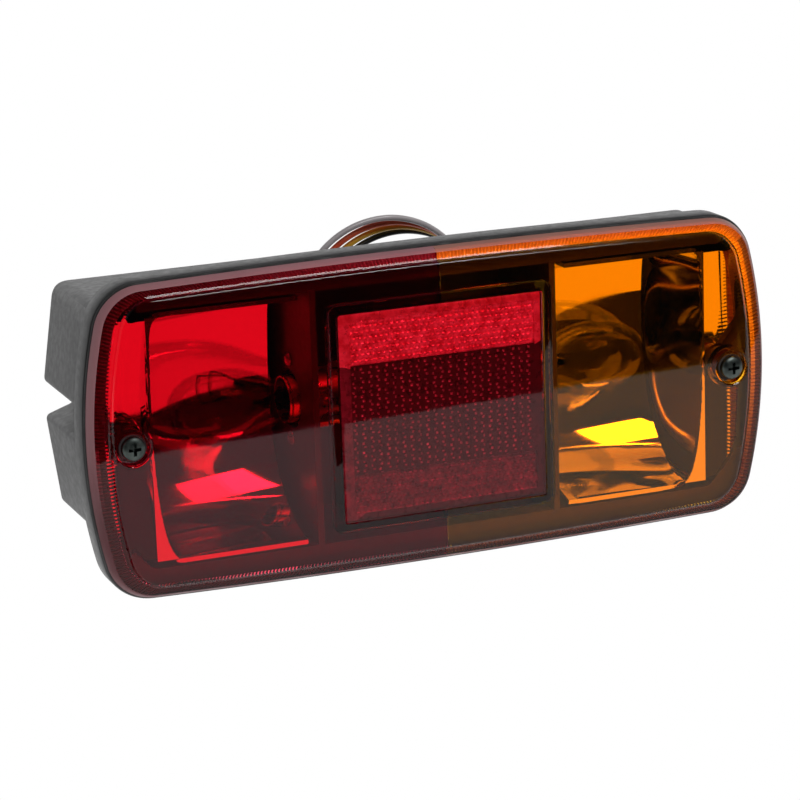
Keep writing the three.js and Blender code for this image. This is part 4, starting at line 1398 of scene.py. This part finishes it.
def build_mounting(side, sign):
    place = Matrix.Translation((sign * BOLT_X, 0, 0))
    wall = -REAR_WALL
    head = hex_blank(f"bolt_{side}_hex", 11.5, wall - 4, wall, place, False)
    combine(head, [rod(3, wall - 0.5, 0.5, 48, place)], "UNION", 30)
    shank = thread(3.0, 0.42, 1.0, 0.2, 15, place, "zinc_steel", 48)
    settle(merge([head, shank]), f"mounting_bolt_{side}")
    flat = [(3.2, 0.15), (3.35, 0), (5.8, 0), (6, 0.2), (6, 1.35), (5.75, 1.6), (3.4, 1.6), (3.2, 1.45)]
    disc = lathe(f"washer_{side}_disc", flat, "zinc_steel", 72, place, 40)
    settle(disc, f"washer_{side}", f"washer_{side}")
    nut = hex_blank(f"nut_{side}_hex", 11.5, 1.65, 6.6, place, True)
    bore = lathe(
        "tool",
        [(0, 0), (3.6, 0), (3.6, 1.7), (3.08, 2.2), (3.08, 6.05), (3.6, 6.55), (3.6, 8), (0, 8)],
        None, 48, place,
    )
    combine(nut, [bore], "DIFFERENCE", 30)
    settle(nut, f"nut_{side}", f"nut_{side}")


# ---- Scene ----
CAMERA = {"yaw": 21.36, "pitch": 14.73, "roll": -2.0, "distance": 0.9648, "lens": 141.9}
CAMERA_SHIFT = (0.01107, -0.00074)


def camera():
    yaw, pitch, roll = (radians(CAMERA[k]) for k in ("yaw", "pitch", "roll"))
    look = Vector((sin(yaw) * cos(pitch), cos(yaw) * cos(pitch), -sin(pitch)))
    level = Vector((cos(yaw), -sin(yaw), 0))
    above = level.cross(look)
    right = level * cos(roll) + above * sin(roll)
    up = above * cos(roll) - level * sin(roll)
    data = bpy.data.cameras.new("camera")
    data.lens = CAMERA["lens"]
    data.sensor_width = 36
    data.clip_start, data.clip_end = 0.05, 20
    obj = bpy.data.objects.new("camera", data)
    bpy.context.collection.objects.link(obj)
    turn = Matrix((right, up, -look)).transposed().to_4x4()
    seat = Vector((0, SEAT_Y * MM, 0))
    place = seat - right * CAMERA_SHIFT[0] - up * CAMERA_SHIFT[1] - look * CAMERA["distance"]
    obj.matrix_world = Matrix.Translation(place) @ turn
    bpy.context.scene.camera = obj


def softbox():
    place = Vector((0.32, -0.68, 0.96))
    data = bpy.data.lights.new("top_softbox", "AREA")
    data.shape = "RECTANGLE"
    data.size, data.size_y = 0.53, 0.44
    data.energy = 9
    obj = bpy.data.objects.new("top_softbox", data)
    obj.location = place
    obj.rotation_euler = (Vector((0, -0.03, 0)) - place).to_track_quat("-Z", "Y").to_euler()
    bpy.context.collection.objects.link(obj)


ROOM_DIM, BACKDROP, LEFT_WALL = 0.03, 1.35, 0.42
LEFT_SHARE = 0.4  # what is left of the backdrop's brightness at the far left
BACKDROP_TOP = (0.52, 0.62)  # sine of the elevations where the backdrop starts and ends its fade


def world():
    """A dim room with a white backdrop behind the lamp and a white wall on its left."""
    made = bpy.data.worlds.new("studio")
    made.use_nodes = True
    bpy.context.scene.world = made
    made.node_tree.nodes.clear()
    sky = Nodes(made.node_tree)
    axes = sky.split(sky.node("ShaderNodeTexCoord").outputs["Generated"])
    back = sky.ramp(axes["Y"], ROOM_DIM, BACKDROP, -0.05, 0.35)
    back = sky.maths("MULTIPLY", back, sky.ramp(axes["Z"], 1.0, 0.04, *BACKDROP_TOP))
    back = sky.maths("MULTIPLY", back, sky.ramp(axes["X"], LEFT_SHARE, 1.0, -0.9, -0.2))
    left = sky.ramp(axes["X"], ROOM_DIM, LEFT_WALL, -0.45, -0.9)
    left = sky.maths("MULTIPLY", left, sky.ramp(axes["Y"], 0.0, 1.0, -0.75, -0.35))
    room, seen = (sky.node("ShaderNodeBackground") for _ in range(2))
    sky.link(sky.maths("MAXIMUM", back, left), room.inputs["Strength"])
    seen.inputs["Color"].default_value = (1, 1, 1, 1)
    camera_ray = sky.node("ShaderNodeLightPath").outputs["Is Camera Ray"]
    output = sky.node("ShaderNodeOutputWorld")
    sky.blend(camera_ray, room.outputs["Background"], seen.outputs["Background"], output)


TABLE_GLOW, BACK_GLOW, TABLE_FADE = 1.2, 0.66, 0.08  # in front, behind, and metres between them
# The pale table ends a hand's width in front of the lamp, and its edge runs slightly askew.
FLOOR_EDGE_Y, FLOOR_EDGE_SKEW = -0.218, -0.084
FLOOR_REACH = 1.5


def table():
    z = HOUSING_LOW[2] - 0.3
    x = FLOOR_REACH / MM
    edge = [(sign * x, FLOOR_EDGE_Y / MM + sign * x * FLOOR_EDGE_SKEW, z) for sign in (-1, 1)]
    verts = [*edge, (x, 2500, z), (-x, 2500, z)]
    paint = Paint("pale_floor", (0.86, 0.86, 0.85), 0.6)
    paint.tint((0.84, 0.84, 0.84), 3)
    glow = paint.node("ShaderNodeEmission")
    level = paint.node("ShaderNodeMix", data_type="FLOAT")
    fade = paint.ramp(paint.split(paint.coords)["Y"], TABLE_GLOW, BACK_GLOW, 0, TABLE_FADE)
    paint.link(fade, level.inputs["A"])
    level.inputs["B"].default_value = 1.0
    paint.link(paint.node("ShaderNodeLightPath").outputs["Is Camera Ray"], level.inputs["Factor"])
    paint.link(level.outputs["Result"], glow.inputs["Strength"])
    paint.link(glow.outputs["Emission"], paint.output.inputs["Surface"])
    MATERIAL["pale_floor"] = paint.material
    make("floor", verts, [(0, 1, 2, 3)], "pale_floor", 0)


build_housing()
build_gasket()
build_lens_halves()
build_reflex()
for unit, sign in UNITS:
    build_tray(unit, sign)
    build_socket(unit, sign)
    build_contacts(unit, sign)
    build_bulb(unit, sign)
build_earth_strip()
build_grommet()
build_leads()
for side, sign in SIDES:
    build_lens_screw(side, sign)
    build_mounting(side, sign)

camera()
softbox()
world()
table()
bpy.context.scene.view_settings.view_transform = "Standard"
